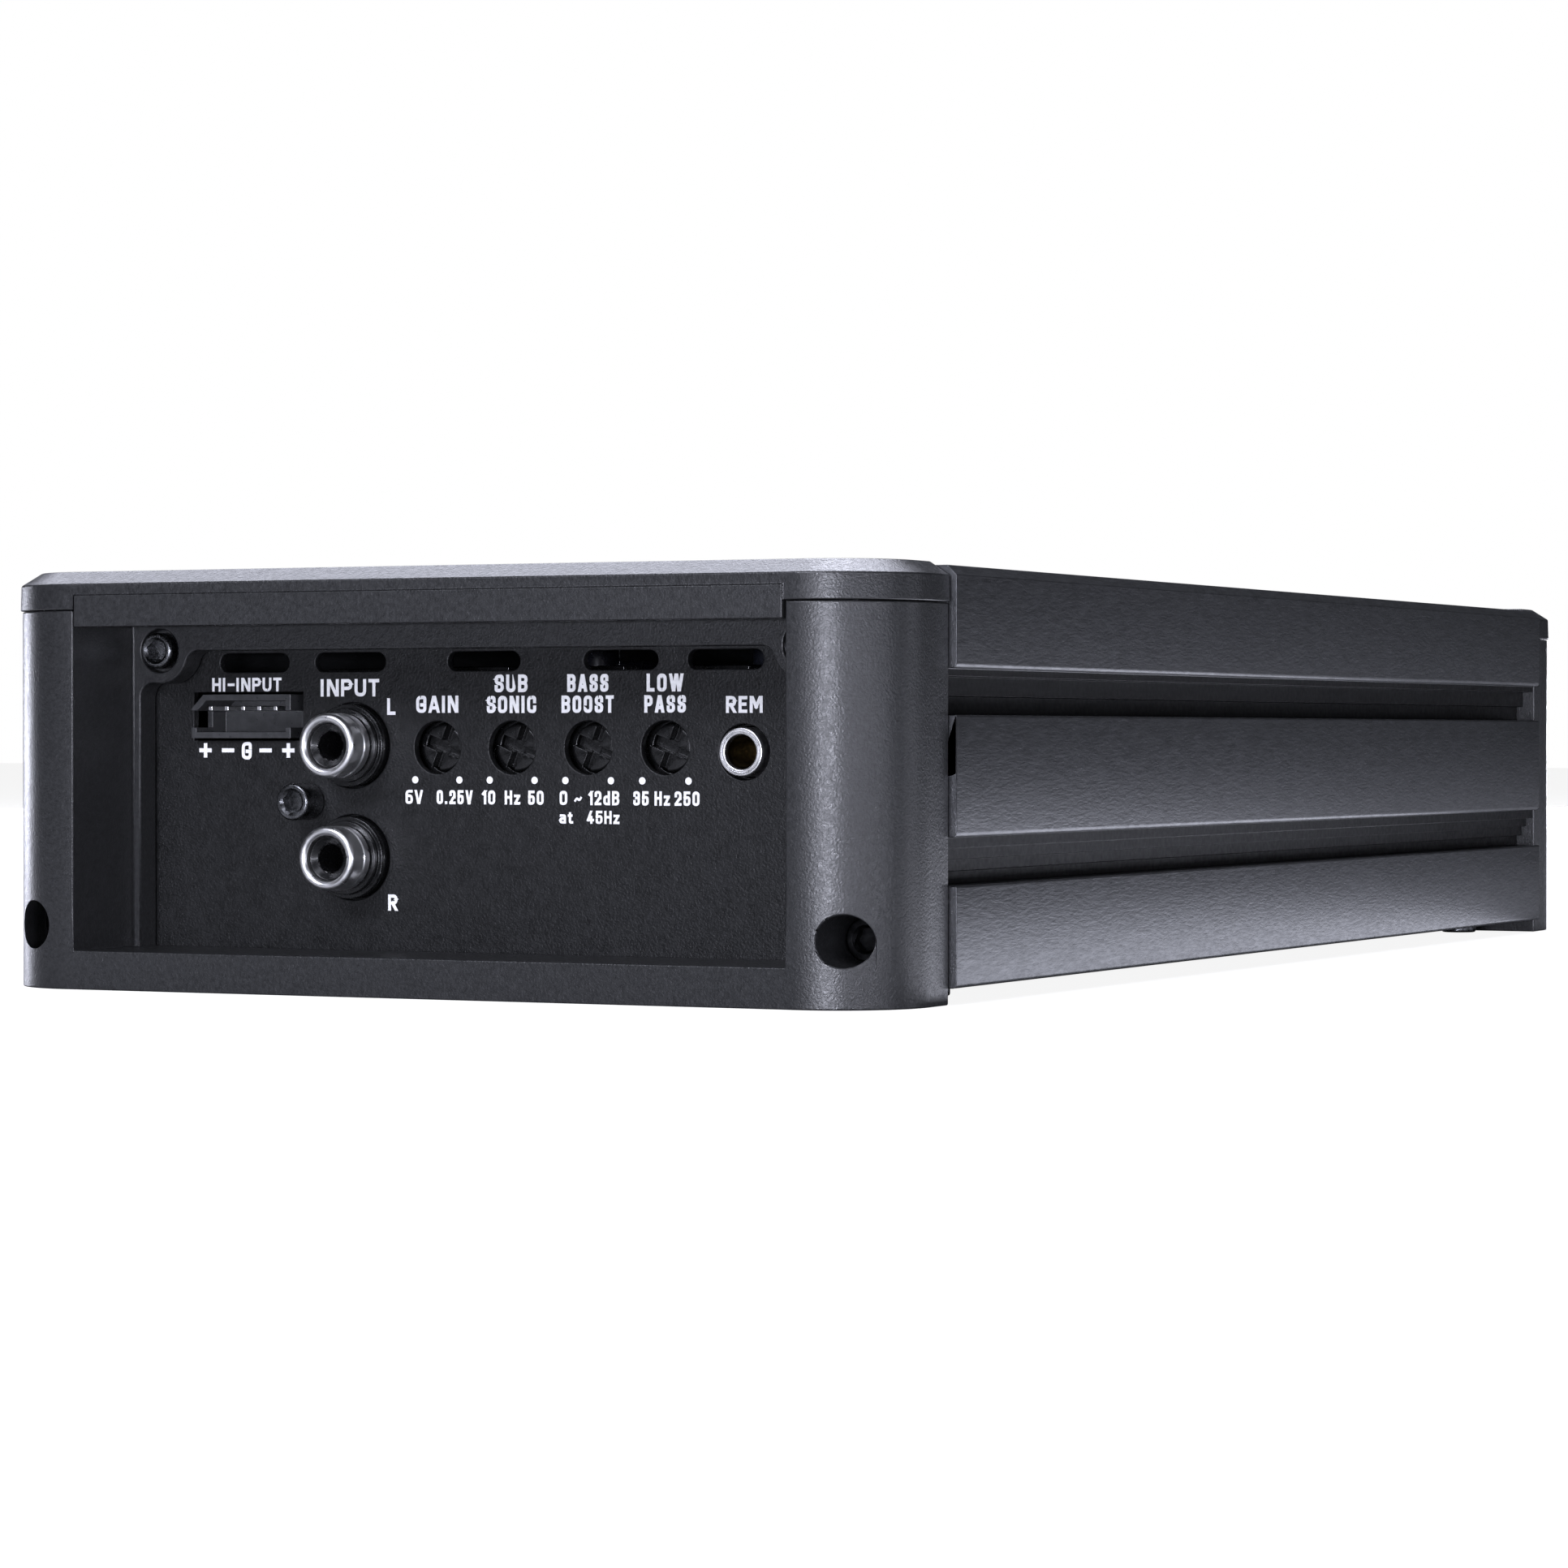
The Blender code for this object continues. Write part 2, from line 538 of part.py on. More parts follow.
# ------------------------------------------------------------------ fasteners
def socket_screw(name, head_radius, head_height, shank_radius, shank_length, key_radius, key_depth):
    """Cap screw with a hexagon socket. Its head's top is at the origin and +Z points out of it."""
    total = head_height + shank_length
    profile = [
        (0, 0),
        (head_radius, 0),
        (head_radius, -head_height),
        (shank_radius, -head_height),
        (shank_radius, -total),
        (0, -total),
    ]
    screw = turned(name, profile, (0, 0, 0), steps=12, facing=(0, 0, 0))
    key = rod(name + "_key", key_radius, (0, 0, 0.001), key_depth + 0.001, 6, facing=(0, 0, 0))
    cut(screw, key)
    return finish(baked(screw), "black_screw")


def set_screw(name, radius, length):
    taper = 0.0006
    profile = [(0, 0), (radius, 0), (radius, taper - length), (radius - taper, -length), (0, -length)]
    screw = turned(name, profile, (0, 0, 0), steps=16, facing=(0, 0, 0))
    key = rod(name + "_key", radius * 0.56, (0, 0, 0.001), 0.0035, 6, facing=(0, 0, 0))
    cut(screw, key)
    return finish(baked(screw), "nickel")


def place_copy(pattern, name, location, rotation):
    obj = add_object(name, pattern.data, location, rotation)
    return obj


def make_screws():
    ear = socket_screw("ear_pattern", 0.00235, 0.0022, 0.0011, 0.0130, 0.00155, 0.0014)
    foot = socket_screw("foot_pattern", 0.00275, 0.0030, 0.0011, 0.0170, 0.00155, 0.0018)
    block = socket_screw("block_pattern", 0.00240, 0.0040, 0.0011, 0.0070, 0.00155, 0.0018)
    cover = socket_screw("cover_pattern", 0.00280, 0.0014, 0.0011, 0.0044, 0.00130, 0.0009)
    ear_y, foot_y = FLANGE_Y - 0.0010, FOOT_HOLE_DEPTH - GAP - 0.0030
    for side, hand in ((-1, "left"), (1, "right")):
        ear_screw = place_copy(ear, f"front_ear_screw_{hand}", (side * EAR_X, ear_y, EAR_Z), FACING_FRONT)
        foot_place = (side * FOOT_X, foot_y, FOOT_Z)
        foot_screw = place_copy(foot, f"front_foot_screw_{hand}", foot_place, FACING_FRONT)
        rear_hand = "right" if hand == "left" else "left"
        copy_to_rear(ear_screw, f"rear_ear_screw_{rear_hand}")
        copy_to_rear(foot_screw, f"rear_foot_screw_{rear_hand}")
    place_copy(block, "rca_block_screw", (RCA_SCREW_X, RCA_SCREW_Y, RCA_SCREW_Z), FACING_FRONT)
    head_z = SINK_BOTTOM - GAP - 0.0014
    for number, (x, y) in enumerate(cover_screw_places(), 1):
        place_copy(cover, f"cover_screw_{number}", (x, y, head_z), (math.pi, 0, 0))
    for pattern in (ear, foot, block, cover):
        as_cutter(pattern)


# ------------------------------------------------------------------ control end
def make_rca_block():
    """Moulded body of the stacked pair of phono sockets, with the insulators that carry their contacts."""
    half = 0.0057
    body_y0 = PANEL_BACK + GAP
    body = box("rca_block", (RCA_X - half, body_y0, 0.0110), (RCA_X + half, 0.0310, UNDER_BOARD_Z))
    lug = box(
        "rca_lug",
        (RCA_SCREW_X - 0.0030, body_y0, RCA_SCREW_Z - 0.0032),
        (RCA_X - half + 0.001, 0.0245, RCA_SCREW_Z + 0.0032),
    )
    join(body, lug)
    for z in RCA_Z:
        tip = RCA_TIP_Y + 0.0004
        steps = (  # radius, and where along Y it ends
            (0.0029, 0.0154),
            (RCA_STEP_RADIUS, 0.0163),
            (RCA_BOSS_RADIUS, body_y0 + 0.001),
        )
        profile, level = [(0, 0)], 0.0
        for radius, end in steps:
            profile += [(radius, level), (radius, tip - end)]
            level = tip - end
        join(body, turned("rca_spigot", profile + [(0, level)], (RCA_X, tip, z)))
        cone = rod("rca_mouth", 0.0024, (RCA_X, tip - 0.0001, z), 0.0012, 20, tip_radius=0.0012)
        cut(body, cone, rod("rca_bore", 0.0017, (RCA_X, tip - 0.001, z), 0.0180, 16))
    cut(body, rod("rca_screw_hole", 0.0014, (RCA_SCREW_X, 0.0180, RCA_SCREW_Z), 0.0100, 12))
    return finish(body, "black_plastic")


def make_rca_sleeves():
    """Plated outer contacts: short tubes with a rolled front edge."""
    length = 0.0154 - GAP - RCA_TIP_Y
    lip = 0.0004
    profile = [
        (RCA_RADIUS - lip, 0),
        (RCA_RADIUS - 0.3 * lip, -0.3 * lip),
        (RCA_RADIUS, -lip),
        (RCA_RADIUS, -length),
        (0.0032, -length),
        (0.0032, -0.0006),
        (0.0034, 0),
    ]
    for name, z in zip(("rca_sleeve_upper", "rca_sleeve_lower"), RCA_Z):
        sleeve = turned(name, profile, (RCA_X, RCA_TIP_Y, z), closed=True)
        finish(sleeve, "nickel")


def make_potentiometers():
    shaft_length = 0.0052
    for name, x in zip(POT_NAMES, POT_X):
        pot = box(
            f"{name}_potentiometer",
            (x - POT_HALF_WIDTH, POT_Y0, POT_Z0),
            (x + POT_HALF_WIDTH, POT_Y1, UNDER_BOARD_Z),
        )
        bore_start = POT_Y0 - 0.001
        bore_length = SHAFT_FACE_Y + shaft_length + GAP - bore_start
        cut(pot, rod(f"{name}_bore", SHAFT_RADIUS + GAP, (x, bore_start, POT_Z), bore_length, 20))
        finish(pot, "black_plastic")

        shaft = rod(f"{name}_shaft", SHAFT_RADIUS, (x, SHAFT_FACE_Y, POT_Z), shaft_length, 24)
        for turn in (0, math.pi / 2):
            slot_cutter = box(
                f"{name}_slot",
                (-SLOT_WIDTH / 2, -0.001, -SHAFT_RADIUS - 0.001),
                (SLOT_WIDTH / 2, SLOT_DEPTH, SHAFT_RADIUS + 0.001),
            )
            turn_about_shaft = Matrix.Rotation(SLOT_ANGLE + turn, 4, "Y")
            at_face = Matrix.Translation((x, SHAFT_FACE_Y, POT_Z))
            slot_cutter.matrix_basis = at_face @ turn_about_shaft @ slot_cutter.matrix_basis
            cut(shaft, slot_cutter)
        finish(shaft, "black_plastic")


def make_remote_jack():
    body = box("remote_jack", (JACK_X - 0.0040, 0.0200, 0.0266), (JACK_X + 0.0040, 0.0330, UNDER_BOARD_Z))
    join(body, rod("jack_bush", JACK_RADIUS, (JACK_X, JACK_TIP_Y, JACK_Z), 0.0050, 28))
    mouth_depth = 0.0012
    mouth_place = (JACK_X, JACK_TIP_Y - 0.0001, JACK_Z)
    mouth = rod("jack_mouth", 0.0026, mouth_place, mouth_depth, 24, tip_radius=0.0018)
    cut(body, mouth, rod("jack_bore", 0.0018, (JACK_X, JACK_TIP_Y, JACK_Z), 0.0140, 24))
    return finish(body, "nickel")


def make_header():
    """Five-way shrouded header: an open box with a keyed corner, side slots and moulded-in pins."""
    (x0, x1), (z0, z1) = HEADER_X, HEADER_Z
    key = 0.0018
    outline = [(x0, z0), (x1, z0), (x1, z1), (x0 + key, z1), (x0, z1 - key)]
    header = plate("speaker_input_header", [outline], HEADER_Y0, HEADER_Y1)
    wall = 0.0008
    cavity_outline = [
        (x0 + wall, z0 + wall),
        (x1 - wall, z0 + wall),
        (x1 - wall, z1 - wall),
        (x0 + wall + key * 0.8, z1 - wall),
        (x0 + wall, z1 - wall - key * 0.8),
    ]
    cavity = plate("header_cavity", [cavity_outline], HEADER_Y0 - 0.001, HEADER_Y0 + 0.0070)
    low, high = (x0 - 0.001, HEADER_Y0 - 0.001, z0 + 0.0014), (x1 + 0.001, 0.0205, z0 + 0.0036)
    side_slots = box("header_slots", low, high)
    cut(header, cavity, side_slots)
    middle = (x0 + x1) / 2 - 0.0001
    for i in range(PIN_COUNT):
        x = middle + (i - (PIN_COUNT - 1) / 2) * PIN_PITCH
        low = (x - PIN_HALF, HEADER_Y0 + 0.0006, PIN_Z - PIN_HALF)
        high = (x + PIN_HALF, 0.0250, PIN_Z + PIN_HALF)
        join(header, box("header_pin", low, high))
    return finish(header, "black_plastic")


def make_boards():
    (x0, x1), (y0, y1) = CONTROL_BOARD_X, CONTROL_BOARD_Y
    top = CONTROL_BOARD_Z0 + BOARD_THICKNESS
    finish(box("control_board", (x0, y0, CONTROL_BOARD_Z0), (x1, y1, top)), "board")
    half, (y0, y1) = MAIN_BOARD_HALF_WIDTH, MAIN_BOARD_Y
    top = MAIN_BOARD_Z0 + BOARD_THICKNESS
    finish(box("main_board", (-half, y0, MAIN_BOARD_Z0), (half, y1, top)), "board")
    riser = box("board_riser", (-0.0130, 0.0500, ON_BOARD_Z), (0.0130, 0.0550, UNDER_BOARD_Z))
    finish(riser, "black_plastic")


# ------------------------------------------------------------------ power end
def rear_y(inwards):
    return LENGTH - inwards


def make_terminal_blocks():
    for block_name, (x0, x1) in BLOCKS.items():
        block = box(
            f"{block_name}_terminal_block",
            (x0, rear_y(BLOCK_Y1), BLOCK_Z0),
            (x1, rear_y(BLOCK_Y0), BLOCK_TOP_Z),
        )
        relief = box(
            f"{block_name}_relief",
            (x0 - 0.001, rear_y(BLOCK_Y1) - 0.001, 0),
            (x1 + 0.001, MAIN_BOARD_Y[1] + GAP, ON_BOARD_Z),
        )
        cut(block, relief)
        for name, x, wire_radius, screw_radius, _, owner in TERMINALS:
            if owner != block_name:
                continue
            wire = rod(
                f"{name}_wire_hole",
                wire_radius,
                (x, rear_y(BLOCK_Y0 - 0.001), WIRE_Z),
                WIRE_DEPTH + 0.001,
                24,
                facing=FACING_REAR,
            )
            screw_hole = rod(
                f"{name}_screw_hole",
                screw_radius + GAP,
                (x, rear_y(CLAMP_Y), BLOCK_TOP_Z + 0.001),
                BLOCK_TOP_Z - WIRE_Z + 0.001,
                20,
                facing=(0, 0, 0),
            )
            cut(block, wire, screw_hole)
        finish(block, "black_plastic")


def make_clamp_screws():
    for name, x, _, radius, length, _ in TERMINALS:
        screw = set_screw(f"{name}_clamp_screw", radius, length)
        screw.location = (x, rear_y(CLAMP_Y), BLOCK_TOP_Z - GAP)


def make_fuses():
    socket_half_x, socket_half_z = FUSE_HALF_WIDTH + 0.0008, FUSE_HALF_THICKNESS + 0.0008
    x0, x1 = min(FUSE_X) - socket_half_x, max(FUSE_X) + socket_half_x
    socket = box(
        "fuse_socket",
        (x0, rear_y(FUSE_SOCKET_Y1), FUSE_Z - socket_half_z),
        (x1, rear_y(PANEL_BACK + GAP), FUSE_Z + socket_half_z),
    )
    for x in FUSE_X:
        collar = box(
            "fuse_collar",
            (x - socket_half_x, rear_y(FUSE_SOCKET_Y1) + 0.001, FUSE_Z - socket_half_z),
            (x + socket_half_x, rear_y(FUSE_SOCKET_Y0), FUSE_Z + socket_half_z),
        )
        join(socket, collar)
    for x in FUSE_X:
        for side in (-1, 1):
            middle = x + side * BLADE_X
            reach_x, reach_z = BLADE_HALF_WIDTH + GAP, BLADE_HALF_THICKNESS + GAP
            blade_slot = box(
                "blade_slot",
                (middle - reach_x, rear_y(FUSE_SOCKET_Y0 + 0.009), FUSE_Z - reach_z),
                (middle + reach_x, rear_y(FUSE_SOCKET_Y0 - 0.001), FUSE_Z + reach_z),
            )
            cut(socket, blade_slot)
    finish(socket, "black_plastic")
    for x, letter in zip(FUSE_X, "ab"):
        body = box(
            f"fuse_{letter}",
            (x - FUSE_HALF_WIDTH, rear_y(FUSE_Y1), FUSE_Z - FUSE_HALF_THICKNESS),
            (x + FUSE_HALF_WIDTH, rear_y(FUSE_Y0), FUSE_Z + FUSE_HALF_THICKNESS),
        )
        for side in (-1, 1):
            middle = x + side * BLADE_X
            blade = box(
                "fuse_blade",
                (middle - BLADE_HALF_WIDTH, rear_y(FUSE_Y1 + BLADE_LENGTH), FUSE_Z - BLADE_HALF_THICKNESS),
                (middle + BLADE_HALF_WIDTH, rear_y(FUSE_Y1 - 0.002), FUSE_Z + BLADE_HALF_THICKNESS),
            )
            join(body, blade)
        finish(body, "fuse_plastic")


def make_status_led():
    profile = [
        (0, 0),
        (LED_RADIUS * 0.7, -0.0004),
        (LED_RADIUS, -0.0014),
        (LED_RADIUS, -0.0048),
        (0, -0.0048),
    ]
    tip = (LED_X, rear_y(PANEL_Y - LED_PROUD), LED_Z)
    led = turned("status_led", profile, tip, steps=16, facing=FACING_REAR)
    finish(led, "led_lens")


# ------------------------------------------------------------------ inside parts
def torus(name, y, ring, tube, material_name):
    """Wound core lying flat on the main board."""
    profile = [
        (ring + tube * math.cos(math.radians(a)), tube * math.sin(math.radians(a)))
        for a in range(60, -300, -45)
    ]
    core = turned(name, profile, (0, y, ON_BOARD_Z + tube), steps=20, facing=(0, 0, 0), closed=True)
    finish(core, material_name)


def make_capacitors():
    for kind, places in (("supply", SUPPLY_CAPACITORS), ("rail", RAIL_CAPACITORS)):
        for number, (x, y) in enumerate(places, 1):
            radius, top = CAPACITOR_RADIUS, CAPACITOR_HEIGHT
            profile = [(0, top), (radius - 0.0008, top), (radius, top - 0.0008), (radius, 0), (0, 0)]
            name = f"{kind}_capacitor_{number}"
            can = turned(name, profile, (x, y, ON_BOARD_Z), facing=(0, 0, 0))
            finish(can, "capacitor_sleeve")


def make_power_transistors():
    """Two pairs of power transistors, each pressed against a side wall by a clamp bar."""
    wall = SINK_INSIDE_X - GAP
    size = TRANSISTOR_SIZE
    for kind, side, places in (("supply", -1, SUPPLY_TRANSISTOR_Y), ("output", 1, OUTPUT_TRANSISTOR_Y)):
        inner = wall - size.x
        x0, x1 = sorted((side * wall, side * inner))
        for number, y in enumerate(places, 1):
            low = (x0, y - size.y / 2, TRANSISTOR_Z0)
            high = (x1, y + size.y / 2, TRANSISTOR_Z0 + size.z)
            finish(box(f"{kind}_transistor_{number}", low, high), "black_plastic")
        x0, x1 = sorted((side * (inner - GAP), side * (inner - GAP - CLAMP_BAR_THICKNESS)))
        middle_y = sum(places) / 2
        middle_z = TRANSISTOR_Z0 + size.z * CLAMP_HEIGHT
        low = (x0, middle_y - CLAMP_BAR_LENGTH / 2, middle_z - CLAMP_BAR_HEIGHT / 2)
        high = (x1, middle_y + CLAMP_BAR_LENGTH / 2, middle_z + CLAMP_BAR_HEIGHT / 2)
        finish(box(f"{kind}_clamp_bar", low, high), "bare_aluminium")


# ------------------------------------------------------------------ assembly
clear_scene()
PARTS = new_collection("car_amplifier")
CUTTERS = new_collection("cutters")
ORIGIN = bpy.data.objects.new("amplifier_origin", None)
ORIGIN.location = (0, -LENGTH / 2, 0)
PARTS.objects.link(ORIGIN)

front_frame = make_frame()
copy_to_rear(front_frame, "rear_frame")
front_cap = make_cap()
copy_to_rear(front_cap, "rear_cap")
make_heatsink()
make_bottom_cover()
make_front_panel()
make_rear_panel()
make_screws()
make_rca_block()
make_rca_sleeves()
make_potentiometers()
make_remote_jack()
make_header()
make_boards()
make_terminal_blocks()
make_clamp_screws()
make_fuses()
make_status_led()
torus("supply_transformer", TRANSFORMER_Y, TRANSFORMER_RING, TRANSFORMER_TUBE, "copper_winding")
torus("output_inductor", INDUCTOR_Y, INDUCTOR_RING, INDUCTOR_TUBE, "copper_winding")
make_capacitors()
make_power_transistors()
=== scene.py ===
"""Looks for the compact car amplifier: fine surfaces, lettering, materials, studio light and camera.

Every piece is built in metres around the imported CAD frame. +X is the right-hand side seen from the
control end, +Y runs from the control end to the power end, and +Z is up from the surface that the
amplifier stands on.
"""

import json
import math

import bmesh
import bpy
from mathutils import Matrix, Vector, geometry


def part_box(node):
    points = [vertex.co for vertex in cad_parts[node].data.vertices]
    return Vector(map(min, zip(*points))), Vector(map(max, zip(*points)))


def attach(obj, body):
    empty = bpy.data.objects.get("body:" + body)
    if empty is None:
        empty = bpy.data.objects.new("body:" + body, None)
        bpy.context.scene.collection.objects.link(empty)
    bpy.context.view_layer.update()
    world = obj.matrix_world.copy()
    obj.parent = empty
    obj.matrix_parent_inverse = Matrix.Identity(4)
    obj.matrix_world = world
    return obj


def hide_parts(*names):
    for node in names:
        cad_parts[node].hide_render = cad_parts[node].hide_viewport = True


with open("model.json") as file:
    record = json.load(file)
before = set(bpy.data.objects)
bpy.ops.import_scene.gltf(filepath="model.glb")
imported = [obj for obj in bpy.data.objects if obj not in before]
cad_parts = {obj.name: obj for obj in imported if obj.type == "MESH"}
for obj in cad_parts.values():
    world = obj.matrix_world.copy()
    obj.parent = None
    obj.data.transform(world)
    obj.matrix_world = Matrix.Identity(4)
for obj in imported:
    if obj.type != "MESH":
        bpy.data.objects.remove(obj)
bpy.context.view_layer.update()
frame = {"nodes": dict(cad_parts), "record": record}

# ------------------------------------------------------------------ sizes read from the frame
GAP = 0.0003
FRONT_LOW, FRONT_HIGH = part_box("front_frame")
REAR_LOW, REAR_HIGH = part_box("rear_frame")
FRAME_HALF_WIDTH = FRONT_HIGH.x
FRAME_DEPTH = FRONT_HIGH.y - FRONT_LOW.y
PARTING_Z = FRONT_HIGH.z
CAP_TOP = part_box("front_cap")[1].z
SINK_LOW, SINK_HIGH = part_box("heatsink_body")
PANEL_LOW, PANEL_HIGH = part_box("front_panel")
PANEL_Y = PANEL_LOW.y - FRONT_LOW.y
PANEL_BACK = PANEL_HIGH.y - FRONT_LOW.y


def middle(node):
    low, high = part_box(node)
    return (low + high) / 2


EAR_X, EAR_Z = middle("front_ear_screw_right").x, middle("front_ear_screw_right").z
FOOT_X, FOOT_Z = middle("front_foot_screw_right").x, middle("front_foot_screw_right").z
POT_NAMES = ("gain", "subsonic", "bass_boost", "low_pass")

# ------------------------------------------------------------------ sizes of the fine shapes
OPENING_HALF_WIDTH, RAIL_HEIGHT = 0.0512, 0.00505
FLANGE_Y, FLANGE_TOP_Z, FLANGE_LIP = 0.0138, 0.0439, 0.0012
NOSE_TURN = 7  # degrees that a post's face turns back between its nose and the opening
EAR_RADIUS, EAR_FILLET = 0.0043, 0.0019
FOOT_HOLE_RADIUS, FOOT_HOLE_DEPTH = 0.00315, 0.0110
CLEAR_HOLE_RADIUS = 0.0017
CAP_PROUD, CAP_CHAMFER_OUT, CAP_CHAMFER_DOWN = 0.00025, 0.0027, 0.0017
CAP_RAIL_Z, CAP_WALL, CAP_DRAFT, CAP_JOINT = 0.0468, 0.0034, 0.00010, 0.00012
CHANNEL_PLAN, CHANNEL_TOP = (0.048, 0.003, 0.0145), 0.0025  # the recess under a frame: half X, Y to Y
POCKET_X, POCKET_Y, POCKET_Z0 = (0.0537, 0.0617), (0.0048, 0.0142), 0.0150  # takes a cap's tongue
TONGUE_X, TONGUE_Y, TONGUE_Z = (0.0545, 0.0580), (0.0060, 0.0128), (0.0430, 0.0530)
HOLLOW_X, HOLLOW_Y1, HOLLOW_Z = 0.0588, 0.0155, (0.0450, 0.0520)  # inside a cap
SINK_CHAMFER, SINK_UPPER_EDGE, SINK_LOWER_EDGE = 0.0012, 0.00030, 0.00060
SINK_INSIDE_X, SINK_INSIDE_TOP = 0.0589, 0.0475
SINK_LEDGES = ((0.0545, 0.0035, 0.0115), (0.0572, 0.0137, 0.0149))  # tip X and Z to Z, inside each wall
SCREW_CHANNEL_RADIUS, PORT_RADIUS = 0.0032, 0.00135
SIDE_GROOVES = (
    ((0.0410, 0.0400, 0.0376, 0.0353), (0.0012, 0.0029, 0.0039)),
    ((0.0204, 0.0190, 0.0176, 0.0161, 0.0145), (0.0012, 0.0023, 0.0031, 0.0039)),
)
TOP_GROOVE_X, TOP_GROOVE_HALF_WIDTH, TOP_GROOVE_DEPTH = (0.028, 0.036, 0.044, 0.052), 0.00175, 0.0030
VENT_X = (-0.0348, -0.0202, -0.0003, 0.0195, 0.0343)
VENT_Z, VENT_HALF_LENGTH, VENT_HALF_HEIGHT = 0.0423, 0.0053, 0.00123
PANEL_EDGE = 0.00016  # rounding of the pressed and painted panel edges
POT_HOLE_RADIUS, RCA_HOLE_RADIUS, JACK_HOLE_RADIUS = 0.0034, 0.00555, 0.0035
ARC_STEPS = 20  # segments in a quarter turn of a large corner
POT_REST_TURN = 22  # degrees that a trimmer's cross slot is turned at rest
POT_SLOTS = (  # each arm of the cross slot: its turn in degrees, half width and depth
    (0, 0.00056, 0.0015),
    (90, 0.00078, 0.0017),
    (180, 0.00056, 0.0015),
    (270, 0.00048, 0.0013),
)
RCA_INSERT_RADIUS, RCA_BORE_RADIUS = 0.00285, 0.00190
JACK = Vector((middle("remote_jack").x, 0, 0.03075))
HEADER_PITCH = 0.0025
WIRE_Z, WIRE_DEPTH = 0.0160, 0.0200
TERMINALS = {  # each block's terminals and the radii of their wire holes
    "power": (("battery", 0.0042), ("remote", 0.0023), ("ground", 0.0042)),
    "speaker": (("speaker_plus", 0.0034), ("speaker_minus", 0.0034)),
}
BLADE_X, BLADE_HALF_WIDTH = 0.0060, 0.0026
BLADE_HALF_THICKNESS, BLADE_SLOT_DEPTH = 0.0004, 0.0090
CHIP_PITCH = 0.00127
COVER_VENT_PITCH, COVER_VENT_Y = 0.016, 0.045
COVER_VENT_HALF_LENGTH, COVER_VENT_HALF_WIDTH = 0.0060, 0.00125
FAR = 1.0  # how far a cutter reaches past the amplifier where nothing else is in its way


# ------------------------------------------------------------------ mesh helpers
def new_object(name, mesh, matrix=Matrix.Identity(4)):
    obj = bpy.data.objects.new(name, mesh)
    obj.matrix_world = matrix
    bpy.context.scene.collection.objects.link(obj)
    return obj


def from_bmesh(name, bm, matrix=Matrix.Identity(4)):
    mesh = bpy.data.meshes.new(name)
    bm.to_mesh(mesh)
    bm.free()
    return new_object(name, mesh, matrix)


def evaluated_mesh(obj):
    bpy.context.view_layer.update()
    graph = bpy.context.evaluated_depsgraph_get()
    return bpy.data.meshes.new_from_object(obj.evaluated_get(graph))


def baked(obj):
    mesh = evaluated_mesh(obj)
    obj.modifiers.clear()
    obj.data = mesh
    return obj


def boolean(target, operation, others):
    for other in others:
        modifier = target.modifiers.new(operation, "BOOLEAN")
        modifier.operation = operation
        modifier.object = other
    baked(target)
    for other in others:
        bpy.data.objects.remove(other)
    return target


def cut(target, *others):
    return boolean(target, "DIFFERENCE", others)


def join(target, *others):
    return boolean(target, "UNION", others)


def divide(obj, level):
    """Adds a level loop of edges, which keeps the shading of a hole from spreading along a tall face."""
    bm = bmesh.new()
    bm.from_mesh(obj.data)
    everything = list(bm.verts) + list(bm.edges) + list(bm.faces)
    bmesh.ops.bisect_plane(bm, geom=everything, plane_co=(0, 0, level), plane_no=(0, 0, 1))
    bm.to_mesh(obj.data)
    bm.free()


def smooth(obj, angle=32):
    obj.data.shade_smooth()
    obj.data.set_sharp_from_angle(angle=math.radians(angle))
    return obj


def even(obj, angle=32):
    """Smooth edges beside large flat faces that stay evenly shaded."""
    smooth(obj, angle)
    weighted = obj.modifiers.new("even", "WEIGHTED_NORMAL")
    weighted.weight = 100
    weighted.keep_sharp = True
    return obj


def soften(obj, width, segments=2, angle=32):
    """Rounds the edges that turn more than the angle, and keeps flat faces flat."""
    smooth(obj, angle)
    bevel = obj.modifiers.new("edges", "BEVEL")
    bevel.width = width
    bevel.segments = segments
    bevel.limit_method = "ANGLE"
    bevel.angle_limit = math.radians(angle)
    bevel.use_clamp_overlap = False
    bevel.harden_normals = True
    return obj


def box(name, low, high, matrix=Matrix.Identity(4)):
    bm = bmesh.new()
    bmesh.ops.create_cube(bm, size=1.0)
    bmesh.ops.scale(bm, vec=[b - a for a, b in zip(low, high)], verts=bm.verts)
    bmesh.ops.translate(bm, vec=[(a + b) / 2 for a, b in zip(low, high)], verts=bm.verts)
    bmesh.ops.transform(bm, matrix=matrix, verts=bm.verts)
    return from_bmesh(name, bm)


FACING_FRONT = Matrix.Rotation(math.pi / 2, 4, "X")
FACING_REAR = Matrix.Rotation(-math.pi / 2, 4, "X")
FACING_UP = Matrix.Identity(4)
FACING_DOWN = Matrix.Rotation(math.pi, 4, "X")
FACING_SIDE = {side: Matrix.Rotation(side * math.pi / 2, 4, "Y") for side in (-1, 1)}


def rod(name, radius, start, length, segments=32, facing=FACING_FRONT, far_radius=None):
    """A cylinder or cone that begins at start and runs back along the direction it faces from."""
    bm = bmesh.new()
    bmesh.ops.create_cone(
        bm,
        cap_ends=True,
        segments=segments,
        radius1=radius if far_radius is None else far_radius,
        radius2=radius,
        depth=length,
    )
    bmesh.ops.translate(bm, vec=(0, 0, -length / 2), verts=bm.verts)
    bmesh.ops.transform(bm, matrix=Matrix.Translation(start) @ facing, verts=bm.verts)
    return from_bmesh(name, bm)


